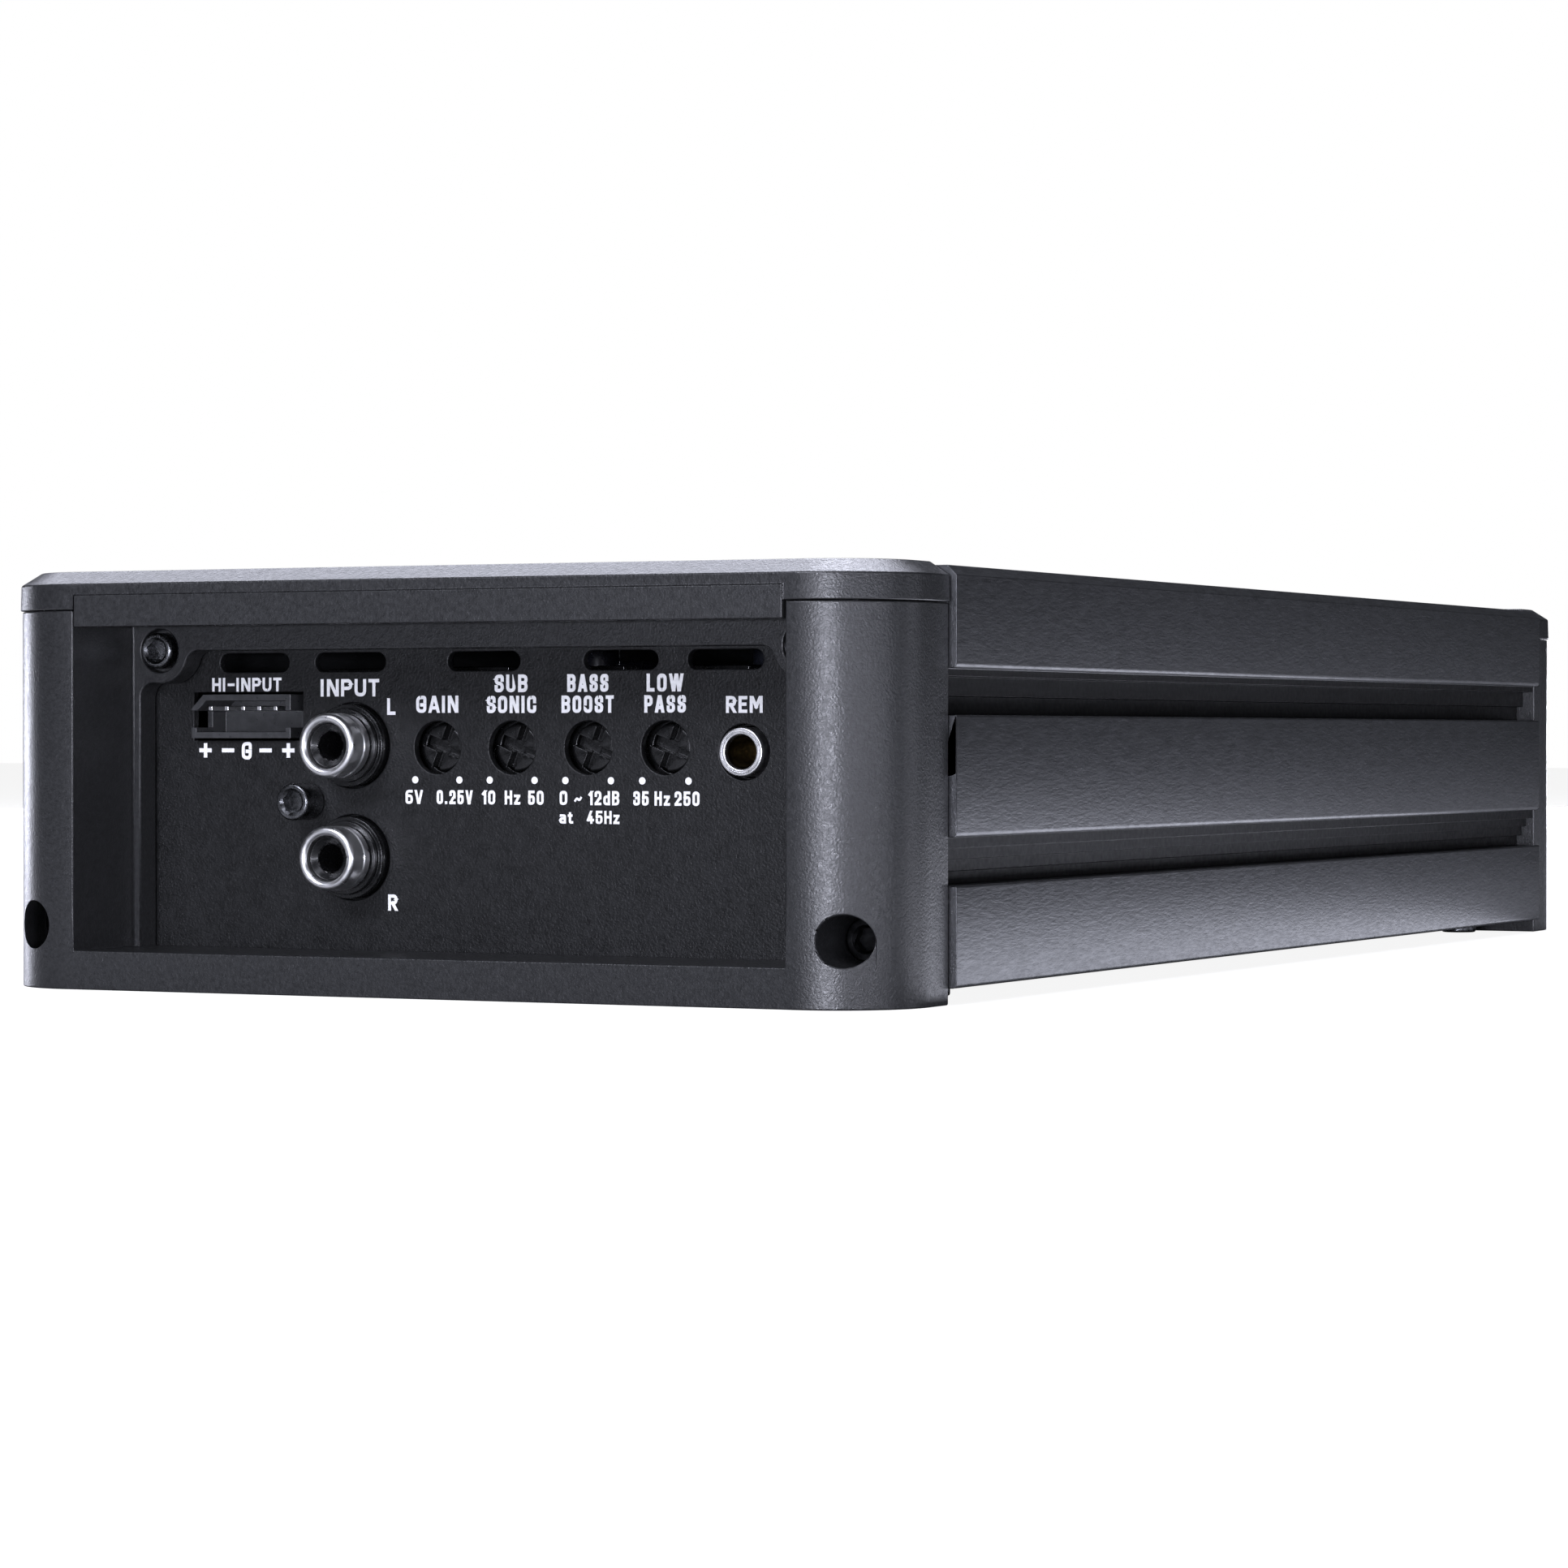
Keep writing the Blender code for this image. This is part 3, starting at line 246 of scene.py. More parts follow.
def turned(name, profile, location, steps=48, facing=FACING_FRONT, closed=False):
    """A turned piece: profile is (radius, height) down its outer side, height along its own +Z."""
    mesh = bpy.data.meshes.new(name)
    points = [(radius, 0, height) for radius, height in profile]
    edges = [(i, i + 1) for i in range(len(points) - 1)]
    if closed:
        edges.append((len(points) - 1, 0))
    mesh.from_pydata(points, edges, [])
    obj = new_object(name, mesh)
    screw = obj.modifiers.new("turn", "SCREW")
    screw.steps = screw.render_steps = steps
    screw.use_merge_vertices = True
    screw.merge_threshold = 0.000001
    baked(obj)
    obj.data.transform(Matrix.Translation(location) @ facing)
    return obj


def arc(x, y, radius, start, end, count):
    """Points on an arc, angles in degrees."""
    steps = [math.radians(start + (end - start) * i / count) for i in range(count + 1)]
    return [(x + radius * math.cos(a), y + radius * math.sin(a)) for a in steps]


def circle(x, y, radius, count=48):
    return arc(x, y, radius, 0, 360, count)[:-1]


def rectangle(x0, y0, x1, y1):
    return [(x0, y0), (x1, y0), (x1, y1), (x0, y1)]


def rounded_rectangle(x0, y0, x1, y1, radius, count=5):
    corners = ((x1, y0, -90), (x1, y1, 0), (x0, y1, 90), (x0, y0, 180))
    points = []
    for x, y, start in corners:
        inside_x = x - radius if x == x1 else x + radius
        inside_y = y - radius if y == y1 else y + radius
        points += arc(inside_x, inside_y, radius, start, start + 90, count)
    return points


def slot(x, y, half_length, half_height, count=14):
    straight = half_length - half_height
    right = arc(x + straight, y, half_height, -90, 90, count)
    return right + arc(x - straight, y, half_height, 90, 270, count)


def solid_curve(name, curve, lines):
    """The mesh object made by a curve that has a closed spline through each line of points."""
    for line in lines:
        spline = curve.splines.new("POLY")
        spline.points.add(len(line) - 1)
        for point, place in zip(spline.points, line):
            point.co = (*place, 1)
        spline.use_cyclic_u = True
    path = new_object(name + "_path", curve)
    mesh = evaluated_mesh(path)
    bpy.data.objects.remove(path)
    return new_object(name, mesh)


def plate(name, loops, low, high, upright=True, edge=0.0):
    """A flat outline with holes, whose edges are rounded by edge.

    It lies in X and Z from low to high along Y, or in X and Y along Z if it isn't upright."""
    curve = bpy.data.curves.new(name, "CURVE")
    curve.dimensions = "2D"
    curve.fill_mode = "BOTH"
    curve.extrude = (high - low) / 2 - edge
    if edge:
        curve.bevel_depth = edge
        curve.bevel_resolution = 2
        curve.offset = -edge
    flat = solid_curve(name, curve, [[(x, y, 0) for x, y in loop] for loop in loops])
    centre = (low + high) / 2
    if upright:
        matrix = Matrix.Translation((0, centre, 0)) @ FACING_FRONT
    else:
        matrix = Matrix.Translation((0, 0, centre))
    bm = bmesh.new()
    bm.from_mesh(flat.data)
    bpy.data.objects.remove(flat)
    bmesh.ops.remove_doubles(bm, verts=bm.verts, dist=0.0000005)
    bmesh.ops.transform(bm, matrix=matrix, verts=bm.verts)
    bmesh.ops.recalc_face_normals(bm, faces=bm.faces)
    return from_bmesh(name, bm)


AT_FRONT = Matrix.Translation((0, FRONT_LOW.y, 0))
AT_REAR = Matrix.Translation((0, REAR_HIGH.y, 0)) @ Matrix.Rotation(math.pi, 4, "Z")


def at_end(obj, rear=False):
    """Moves a piece built behind an end's face (Y = 0, inwards +) to that end of the amplifier."""
    obj.data.transform(AT_REAR if rear else AT_FRONT)
    return obj


# ------------------------------------------------------------------ materials
class Paint:
    """One procedural material: a Principled shader with helpers for its texture nodes."""

    def __init__(self, name, roughness, metallic=0.0, **sockets):
        self.material = bpy.data.materials.new(name)
        self.material.use_nodes = True
        self.tree = self.material.node_tree
        self.shader = self.tree.nodes["Principled BSDF"]
        self.shader.inputs["Roughness"].default_value = roughness
        self.shader.inputs["Metallic"].default_value = metallic
        for socket, value in sockets.items():
            self.shader.inputs[socket.replace("_", " ")].default_value = value
        self.place = self.tree.nodes.new("ShaderNodeTexCoord").outputs["Object"]
        self.normal = None

    def node(self, kind, inputs=(), **settings):
        made = self.tree.nodes.new(kind)
        for setting, value in settings.items():
            setattr(made, setting, value)
        for socket, value in inputs:
            if isinstance(value, bpy.types.NodeSocket):
                self.tree.links.new(value, made.inputs[socket])
            else:
                made.inputs[socket].default_value = value
        return made

    def stretched(self, scale):
        inputs = (("Vector", self.place), ("Scale", scale))
        return self.node("ShaderNodeMapping", inputs).outputs["Vector"]

    def noise(self, size, detail=2.0, stretch=None, roughness=0.55):
        """Noise whose features are about size metres across."""
        vector = self.stretched(stretch) if stretch else self.place
        inputs = (("Vector", vector), ("Scale", 1 / size), ("Detail", detail), ("Roughness", roughness))
        return self.node("ShaderNodeTexNoise", inputs).outputs["Fac"]

    def ramp(self, value, low, high, to_low=0.0, to_high=1.0):
        inputs = (
            ("Value", value),
            ("From Min", low),
            ("From Max", high),
            ("To Min", to_low),
            ("To Max", to_high),
        )
        return self.node("ShaderNodeMapRange", inputs).outputs["Result"]

    def colours(self, value, *stops):
        made = self.node("ShaderNodeValToRGB", (("Fac", value),))
        ramp = made.color_ramp
        while len(ramp.elements) < len(stops):
            ramp.elements.new(1.0)
        for element, (position, colour) in zip(ramp.elements, stops):
            element.position = position
            element.color = (*colour, 1.0)
        self.tree.links.new(made.outputs["Color"], self.shader.inputs["Base Color"])

    def rough(self, value, low, high):
        self.tree.links.new(self.ramp(value, 0.3, 0.7, low, high), self.shader.inputs["Roughness"])

    def bump(self, height, depth, strength=1.0):
        """Adds a relief that is depth metres deep where height runs from 0 to 1."""
        inputs = [("Height", height), ("Distance", depth), ("Strength", strength)]
        if self.normal:
            inputs.append(("Normal", self.normal))
        self.normal = self.node("ShaderNodeBump", inputs).outputs["Normal"]
        self.tree.links.new(self.normal, self.shader.inputs["Normal"])


def grey(value, blue=1.06):
    return (value, value * (1 + (blue - 1) / 3), value * blue)


def frame_plastic():
    """Charcoal moulded plastic with a spark-eroded texture."""
    paint = Paint("frame_plastic", 0.34)
    grain = paint.noise(0.00032, 2.0)
    paint.colours(paint.noise(0.0005, 2.0), (0.3, grey(0.013)), (0.7, grey(0.024)))
    paint.rough(paint.noise(0.0007), 0.28, 0.40)
    paint.bump(grain, 0.00005)
    return paint.material


def sink_aluminium():
    """Black anodised extrusion, satin, with a fine grain drawn out along its length."""
    paint = Paint("sink_aluminium", 0.36, 0.75)
    drawn = paint.noise(0.00036, 2.5, stretch=(1.0, 0.22, 1.0))
    shade = paint.noise(0.0008, 2.0, stretch=(1.0, 0.2, 1.0))
    paint.colours(shade, (0.3, grey(0.058)), (0.7, grey(0.080)))
    paint.rough(drawn, 0.32, 0.42)
    paint.bump(drawn, 0.000035)
    return paint.material


def groove_painted_shade():
    """Painted shade for the faces inside the grooves: the same anodising made far darker, matt and less
    shiny, so the recesses read as shaded.
    """
    paint = Paint("groove_painted_shade", 0.5, 0.0, Specular_IOR_Level=0.14)
    shade = paint.noise(0.0010, 2.0, stretch=(1.0, 0.1, 1.0))
    paint.colours(shade, (0.3, grey(0.003)), (0.7, grey(0.006)))
    paint.rough(paint.noise(0.0008), 0.42, 0.56)
    paint.bump(paint.noise(0.0005, 2.0, stretch=(1.0, 0.1, 1.0)), 0.000010)
    return paint.material


def panel_steel():
    """Black powder coat: soft pimples with small bright points."""
    paint = Paint("panel_steel", 0.48, Specular_IOR_Level=0.30)
    pimples = paint.noise(0.00030, 2.0)
    paint.colours(paint.noise(0.0016), (0.3, grey(0.006)), (0.7, grey(0.011)))
    paint.rough(paint.noise(0.0006), 0.30, 0.46)
    paint.bump(pimples, 0.00007)
    return paint.material


def cover_steel():
    """Black painted sheet steel, flatter than the panels."""
    paint = Paint("cover_steel", 0.45, 0.2)
    paint.colours(paint.noise(0.003), (0.3, grey(0.016)), (0.7, grey(0.024)))
    paint.rough(paint.noise(0.0012), 0.38, 0.52)
    paint.bump(paint.noise(0.0006), 0.00004)
    return paint.material


def black_plastic():
    """Moulded black nylon, half matt."""
    paint = Paint("black_plastic", 0.25)
    paint.colours(paint.noise(0.0010), (0.3, grey(0.004)), (0.7, grey(0.008)))
    paint.rough(paint.noise(0.0009), 0.18, 0.32)
    paint.bump(paint.noise(0.0004), 0.000012)
    return paint.material


def screw_painted_shade():
    """Painted shade: a far darker copy of the black oxide steel, for screws deep in a hole, so they read
    as shaded.
    """
    paint = Paint("screw_painted_shade", 0.40, 1.0)
    paint.colours(paint.noise(0.0008, 3.0), (0.35, grey(0.006)), (0.7, grey(0.014)))
    paint.rough(paint.noise(0.0005), 0.30, 0.48)
    return paint.material


def black_screw():
    """Black oxide steel, a little worn, lighter in random patches."""
    paint = Paint("black_screw", 0.28, 1.0)
    paint.colours(paint.noise(0.0008, 3.0), (0.35, grey(0.09)), (0.7, grey(0.20)))
    paint.rough(paint.noise(0.0005), 0.20, 0.36)
    paint.bump(paint.noise(0.0003), 0.000008)
    return paint.material


def header_nylon():
    """Natural dark grey nylon of a board connector."""
    paint = Paint("header_nylon", 0.34)
    paint.colours(paint.noise(0.0010), (0.3, grey(0.030)), (0.7, grey(0.046)))
    paint.rough(paint.noise(0.0009), 0.26, 0.40)
    paint.bump(paint.noise(0.0004), 0.000012)
    return paint.material


def nickel():
    """Bright nickel plate with faint turning marks and smears."""
    paint = Paint("nickel", 0.32, 1.0)
    paint.colours(paint.noise(0.0020), (0.3, grey(0.74, 1.0)), (0.7, grey(0.88, 1.0)))
    paint.rough(paint.noise(0.0012, 3.0), 0.26, 0.38)
    paint.bump(paint.noise(0.0006), 0.000006)
    return paint.material


def contact_brass():
    """Dull brass contacts deep inside a socket."""
    paint = Paint("contact_brass", 0.35, 1.0)
    paint.colours(paint.noise(0.0008), (0.3, (0.10, 0.075, 0.035)), (0.7, (0.20, 0.15, 0.07)))
    paint.rough(paint.noise(0.0006), 0.28, 0.45)
    return paint.material


def white_ink():
    """Screen-printed white ink."""
    paint = Paint("white_ink", 0.45)
    paint.colours(paint.noise(0.0006), (0.3, grey(0.78, 1.0)), (0.7, grey(0.92, 1.0)))
    paint.bump(paint.noise(0.0003), 0.000010)
    return paint.material


def circuit_board():
    """Green solder mask over copper tracks."""
    paint = Paint("board", 0.35)
    tracks = paint.node(
        "ShaderNodeTexBrick",
        (
            ("Vector", paint.place),
            ("Scale", 60.0),
            ("Mortar Size", 0.03),
            ("Color1", (0, 0, 0, 1)),
            ("Color2", (0.3, 0.3, 0.3, 1)),
        ),
    ).outputs["Color"]
    bare, track, pad = (0.004, 0.040, 0.018), (0.006, 0.060, 0.028), (0.012, 0.105, 0.050)
    paint.colours(tracks, (0.0, bare), (0.35, track), (1.0, pad))
    paint.bump(tracks, 0.00003)
    paint.rough(paint.noise(0.002), 0.28, 0.42)
    return paint.material


def copper_winding():
    """Enamelled copper wire."""
    paint = Paint("copper_winding", 0.28, 1.0, Coat_Weight=0.6, Coat_Roughness=0.12)
    paint.colours(paint.noise(0.0015), (0.3, (0.38, 0.12, 0.04)), (0.7, (0.55, 0.20, 0.08)))
    paint.rough(paint.noise(0.0008), 0.2, 0.36)
    paint.bump(paint.noise(0.0005), 0.00001)
    return paint.material


def capacitor_sleeve():
    """Shrunk vinyl sleeve over a can."""
    paint = Paint("capacitor_sleeve", 0.30)
    paint.colours(paint.noise(0.004), (0.3, (0.006, 0.007, 0.010)), (0.7, (0.011, 0.012, 0.017)))
    paint.rough(paint.noise(0.0012), 0.22, 0.40)
    paint.bump(paint.noise(0.0012), 0.00004)
    return paint.material


def bare_aluminium():
    """Mill-finished aluminium with drawing lines."""
    paint = Paint("bare_aluminium", 0.34, 1.0)
    lines = paint.noise(0.0004, 2.0, stretch=(1.0, 0.04, 1.0))
    paint.colours(lines, (0.3, grey(0.50, 1.0)), (0.7, grey(0.66, 1.0)))
    paint.rough(lines, 0.26, 0.42)
    paint.bump(lines, 0.00001)
    return paint.material


def fuse_plastic():
    """Tinted clear plastic."""
    paint = Paint("fuse_plastic", 0.12, Transmission_Weight=0.55, IOR=1.49)
    paint.colours(paint.noise(0.004), (0.3, (0.02, 0.30, 0.06)), (0.7, (0.04, 0.42, 0.10)))
    paint.rough(paint.noise(0.0012), 0.08, 0.18)
    paint.bump(paint.noise(0.0010), 0.00001)
    return paint.material


def led_lens():
    """Diffused blue lens."""
    paint = Paint("led_lens", 0.15, Transmission_Weight=0.3, IOR=1.5)
    paint.colours(paint.noise(0.001), (0.3, (0.06, 0.20, 0.65)), (0.7, (0.10, 0.28, 0.80)))
    paint.bump(paint.noise(0.0008), 0.00001)
    return paint.material


MATERIALS = {
    make.__name__: make()
    for make in (
        frame_plastic,
        sink_aluminium,
        groove_painted_shade,
        panel_steel,
        cover_steel,
        black_plastic,
        screw_painted_shade,
        black_screw,
        header_nylon,
        nickel,
        contact_brass,
        white_ink,
        circuit_board,
        copper_winding,
        capacitor_sleeve,
        bare_aluminium,
        fuse_plastic,
        led_lens,
    )
}
SLOT_MATERIAL = {"board": "circuit_board"}  # other record slots have a material of the same name


def piece(obj, material, replaces=(), body="housing", slot_name=None):
    """Dresses a finished object and seats it on its CAD body."""
    obj.data.materials.clear()
    obj.data.materials.append(MATERIALS[material])
    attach(obj, body)
    slot_name = slot_name or material
    if replaces:
        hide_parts(*replaces)
    return obj


def dress_cad_nodes():
    """Gives every CAD node the procedural material of its slot, before finer pieces replace it."""
    for entry in frame["record"]["subparts"]:
        node = frame["nodes"][entry["node"]]
        name = SLOT_MATERIAL.get(entry["material_slot"], entry["material_slot"])
        node.data.materials.clear()
        node.data.materials.append(MATERIALS[name])


# ------------------------------------------------------------------ end frames and caps
def frame_plan(grow=0.0, inset=0.0):
    """Plan outline of an end frame: square against the heatsink, and at the front two rounded posts.

    One arc runs round each post, from the side to a little past its nose at the edge of the opening."""
    half = FRAME_HALF_WIDTH + grow - inset
    front = inset - grow
    width = half - OPENING_HALF_WIDTH
    radius = width / (1 + math.sin(math.radians(NOSE_TURN)))
    right = arc(half - radius, front + radius, radius, -90 - NOSE_TURN, 0, ARC_STEPS)
    outline = right + [(half, FRAME_DEPTH), (-half, FRAME_DEPTH)]
    return outline + [(-x, y) for x, y in reversed(right)]


def flange_window():
    """Inner outline of the frame's flange in X and Z: a window with an ear round each upper screw."""
    side = OPENING_HALF_WIDTH - FLANGE_LIP
    reach = EAR_RADIUS + EAR_FILLET
    side_x = side - EAR_FILLET
    side_z = EAR_Z - math.sqrt(reach**2 - (side_x - EAR_X) ** 2)
    side_angle = math.degrees(math.atan2(EAR_Z - side_z, EAR_X - side_x))
    top_z = FLANGE_TOP_Z - EAR_FILLET
    top_x = EAR_X - math.sqrt(reach**2 - (top_z - EAR_Z) ** 2)
    top_angle = math.degrees(math.atan2(EAR_Z - top_z, EAR_X - top_x))
    right = [(side, RAIL_HEIGHT)]
    right += arc(side_x, side_z, EAR_FILLET, 0, side_angle, 8)
    right += arc(EAR_X, EAR_Z, EAR_RADIUS, side_angle - 180, top_angle - 180, 14)[1:-1]
    right += arc(top_x, top_z, EAR_FILLET, top_angle, 90, 8)
    return right + [(-x, z) for x, z in reversed(right)]


def make_frame(end, rear):
    beyond = 0.002
    shape = plate(f"{end}_end_frame", [frame_plan()], 0, PARTING_Z, upright=False)
    for reach in (-0.0004, 0.0004):
        divide(shape, FOOT_Z + reach + math.copysign(FOOT_HOLE_RADIUS, reach))
    half = OPENING_HALF_WIDTH
    opening = box("opening", (-half, -beyond, RAIL_HEIGHT), (half, FLANGE_Y, PARTING_Z + beyond))
    window = plate("window", [flange_window()], FLANGE_Y - beyond, FRAME_DEPTH + beyond)
    (x, y0, y1), z = CHANNEL_PLAN, CHANNEL_TOP
    channel = box("channel", (-x, y0, -beyond), (x, y1, z))
    cut(shape, opening, window, channel)
    for side in (-1, 1):
        foot_x, ear_x = side * FOOT_X, side * EAR_X
        x0, x1 = sorted(side * x for x in POCKET_X)
        cut(
            shape,
            rod("hole", FOOT_HOLE_RADIUS, (foot_x, -beyond, FOOT_Z), FOOT_HOLE_DEPTH + beyond, 48),
            rod("through", CLEAR_HOLE_RADIUS, (foot_x, FOOT_HOLE_DEPTH - beyond, FOOT_Z), 0.012, 24),
            rod("seat", 0.00285, (ear_x, FLANGE_Y - beyond, EAR_Z), beyond + 0.0015, 40),
            rod("ear", CLEAR_HOLE_RADIUS, (ear_x, FLANGE_Y, EAR_Z), 0.008, 24),
            box("pocket", (x0, POCKET_Y[0], POCKET_Z0), (x1, POCKET_Y[1], PARTING_Z + beyond)),
        )
    soften(at_end(shape, rear), 0.00022, 3, angle=20)
    piece(shape, "frame_plastic", [f"{end}_frame"])


def make_cap(end, rear):
    lower = frame_plan(grow=CAP_PROUD)
    drafted = frame_plan(grow=CAP_PROUD, inset=CAP_DRAFT)
    upper = frame_plan(grow=CAP_PROUD, inset=CAP_CHAMFER_OUT)
    levels = (PARTING_Z + CAP_JOINT, CAP_TOP - CAP_CHAMFER_DOWN, CAP_TOP)
    bm = bmesh.new()
    rings = [
        [bm.verts.new((x, y, z)) for x, y in outline]
        for z, outline in zip(levels, (lower, drafted, upper))
    ]
    count = len(lower)
    for below, above in zip(rings, rings[1:]):
        for i in range(count):
            j = (i + 1) % count
            bm.faces.new((below[i], below[j], above[j], above[i]))
    bm.faces.new(reversed(rings[0]))
    bm.faces.new(rings[-1])
    bmesh.ops.recalc_face_normals(bm, faces=bm.faces)
    cap = from_bmesh(f"{end}_top_cap", bm)
    hollow_low, hollow_high = (-HOLLOW_X, CAP_WALL, HOLLOW_Z[0]), (HOLLOW_X, HOLLOW_Y1, HOLLOW_Z[1])
    cut(cap, box("hollow", hollow_low, hollow_high))
    half = OPENING_HALF_WIDTH - GAP
    join(cap, box("rail", (-half, -CAP_PROUD, CAP_RAIL_Z), (half, CAP_WALL, PARTING_Z + 0.002)))
    for side in (-1, 1):
        x0, x1 = sorted(side * x for x in TONGUE_X)
        low, high = zip((x0, x1), TONGUE_Y, TONGUE_Z)
        join(cap, box("tongue", low, high))
    soften(at_end(cap, rear), 0.00018, 3, angle=20)
    piece(cap, "frame_plastic", [f"{end}_cap"], body=f"{end}_top_cap")


# ------------------------------------------------------------------ heatsink and sheet metal
def ledge_points(tip_x, z0, z1):
    return [(SINK_INSIDE_X, z0), (tip_x, z0), (tip_x, z1), (SINK_INSIDE_X, z1)]


def sink_profile():
    """Cross-section of the extrusion in X and Z: an inverted U with grooved sides and a finned top."""
    x, top, bottom = SINK_HIGH.x, SINK_HIGH.z, SINK_LOW.z
    outside = []
    for groove_x in TOP_GROOVE_X:
        left, right = groove_x - TOP_GROOVE_HALF_WIDTH, groove_x + TOP_GROOVE_HALF_WIDTH
        floor, fillet = top - TOP_GROOVE_DEPTH, 0.0006
        outside += [(left, top)] + arc(left + fillet, floor + fillet, fillet, 180, 270, 4)
        outside += arc(right - fillet, floor + fillet, fillet, 270, 360, 4) + [(right, top)]
    outside += [(x - SINK_CHAMFER, top), (x, top - SINK_CHAMFER)]
    edge = SINK_UPPER_EDGE
    lower_edge = SINK_LOWER_EDGE
    for levels, depths in SIDE_GROOVES:
        outside += arc(x - lower_edge, levels[0] + lower_edge, lower_edge, 0, -90, 6)
        for upper, lower, depth in zip(levels, levels[1:], depths):
            outside += [(x - depth, upper), (x - depth, lower)]
        outside += arc(x - edge, levels[-1] - edge, edge, 90, 0, 4)
    outside += arc(x - lower_edge, bottom + lower_edge, lower_edge, 0, -90, 6)
    inside = [
        (SINK_INSIDE_X, bottom),
        *(point for ledge in SINK_LEDGES for point in ledge_points(*ledge)),
        (SINK_INSIDE_X, SINK_INSIDE_TOP),
        (EAR_X + SCREW_CHANNEL_RADIUS, SINK_INSIDE_TOP),
    ]
    inside += arc(EAR_X, EAR_Z, SCREW_CHANNEL_RADIUS, 0, -180, 14)
    inside.append((EAR_X - SCREW_CHANNEL_RADIUS, SINK_INSIDE_TOP))
    half = outside + inside
    return half + [(-px, pz) for px, pz in reversed(half)]


def paint_groove_shade(sink):
    """Gives the faces inside the side and top grooves the darker, matt material that paints shade into
    them.
    """
    sink.data.materials.append(MATERIALS["groove_painted_shade"])
    side, top = SINK_HIGH.x - 0.0007, SINK_HIGH.z - 0.0004
    for face in sink.data.polygons:
        x, z = abs(face.center.x), face.center.z
        in_side = SINK_INSIDE_X < x < side and any(a > z > b for (a, *_, b), _ in SIDE_GROOVES)
        in_top = SINK_INSIDE_TOP + 0.0005 < z < top and x < SINK_INSIDE_X - 0.004
        if (in_side or in_top) and abs(face.normal.y) < 0.5:
            face.material_index = 1


def make_heatsink():
    ports = [circle(side * EAR_X, EAR_Z, PORT_RADIUS, 16) for side in (-1, 1)]
    ports += [circle(side * FOOT_X, FOOT_Z, PORT_RADIUS, 16) for side in (-1, 1)]
    sink = plate("heatsink", [sink_profile()] + ports, SINK_LOW.y, SINK_HIGH.y)
    edge, z0, z1 = PANEL_HIGH.x + GAP, PANEL_LOW.z - GAP, PANEL_HIGH.z + GAP
    depth = PANEL_BACK - FRAME_DEPTH
    cut(
        sink,
        box("rebate", (-edge, SINK_LOW.y - 0.002, z0), (edge, SINK_LOW.y + depth, z1)),
        box("rebate", (-edge, SINK_HIGH.y - depth, z0), (edge, SINK_HIGH.y + 0.002, z1)),
    )
    piece(sink, "sink_aluminium", ["heatsink_body"])
    # the groove faces get a darker material as painted shade
    paint_groove_shade(sink)
    soften(sink, 0.00010, 1)


def panel_outline():
    return rounded_rectangle(PANEL_LOW.x, PANEL_LOW.z, PANEL_HIGH.x, PANEL_HIGH.z, 0.001)


def shared_panel_holes():
    holes = [slot(x, VENT_Z, VENT_HALF_LENGTH, VENT_HALF_HEIGHT) for x in VENT_X]
    for side in (-1, 1):
        holes.append(circle(side * EAR_X, EAR_Z, CLEAR_HOLE_RADIUS, 24))
        holes.append(circle(side * FOOT_X, FOOT_Z, CLEAR_HOLE_RADIUS, 24))
    return holes


def make_control_panel():
    holes = shared_panel_holes()
    for name in POT_NAMES:
        shaft = middle(f"{name}_shaft")
        holes.append(circle(shaft.x, shaft.z, POT_HOLE_RADIUS))
    for node in ("rca_sleeve_upper", "rca_sleeve_lower"):
        holes.append(circle(middle(node).x, middle(node).z, RCA_HOLE_RADIUS))
    screw = middle("rca_block_screw")
    holes.append(circle(screw.x, screw.z, CLEAR_HOLE_RADIUS, 24))
    holes.append(circle(JACK.x, JACK.z, JACK_HOLE_RADIUS))
    low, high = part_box("speaker_input_header")
    holes.append(rectangle(low.x - GAP, low.z - GAP, high.x + 0.0012, high.z + GAP))
    loops = [panel_outline()] + holes
    panel = plate("control_panel", loops, PANEL_LOW.y, PANEL_HIGH.y, edge=PANEL_EDGE)
    piece(even(panel), "panel_steel", ["front_panel"])


# ------------------------------------------------------------------ control end details
def make_socket_screw(name, node, facing, head, key, key_turn=0.0, finish_and_shade="black_screw"):
    """Socket screw in place of a CAD one: a rounded head, a hexagon key and a threaded shank.

    head is a radius and a height; key is a radius and a depth."""
    head_radius, head_height = head
    key_radius, key_depth = key
    low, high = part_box(node)
    centre = (low + high) / 2
    outwards = facing.to_3x3() @ Vector((0, 0, 1))
    half = (high - low) / 2
    reach = abs(outwards.x) * half.x + abs(outwards.y) * half.y + abs(outwards.z) * half.z
    total = 2 * reach
    top = centre + outwards * reach
    edge, shank, pitch = 0.00035, 0.0011, 0.0005
    profile = [(0, 0), (head_radius - edge, 0)]
    profile += [(x, y) for x, y in arc(head_radius - edge, -edge, edge, 90, 0, 5)][1:]
    profile += [(head_radius, -head_height), (shank, -head_height)]
    threads = int((total - head_height - 0.001) / pitch)
    for i in range(threads):
        level = -head_height - 0.0005 - i * pitch
        profile += [(shank, level), (shank - 0.00015, level - pitch / 2)]
    profile += [(shank - 0.0002, -total), (0, -total)]
    screw = turned(name, profile, (0, 0, 0), steps=32, facing=FACING_UP)
    key = rod("key", key_radius, (0, 0, 0.001), key_depth + 0.001, 6, facing=FACING_UP)
    cut(screw, key)
    lead_radius, just_above = key_radius * 1.16, (0, 0, 0.00001)
    cut(screw, rod("lead", lead_radius, just_above, 0.0003, 24, FACING_UP, far_radius=key_radius * 0.9))
    turn = Matrix.Rotation(math.radians(key_turn), 4, "Z")
    screw.data.transform(Matrix.Translation(top) @ facing @ turn)
    smooth(screw, 30)
    piece(screw, finish_and_shade, [node], slot_name="black_screw")


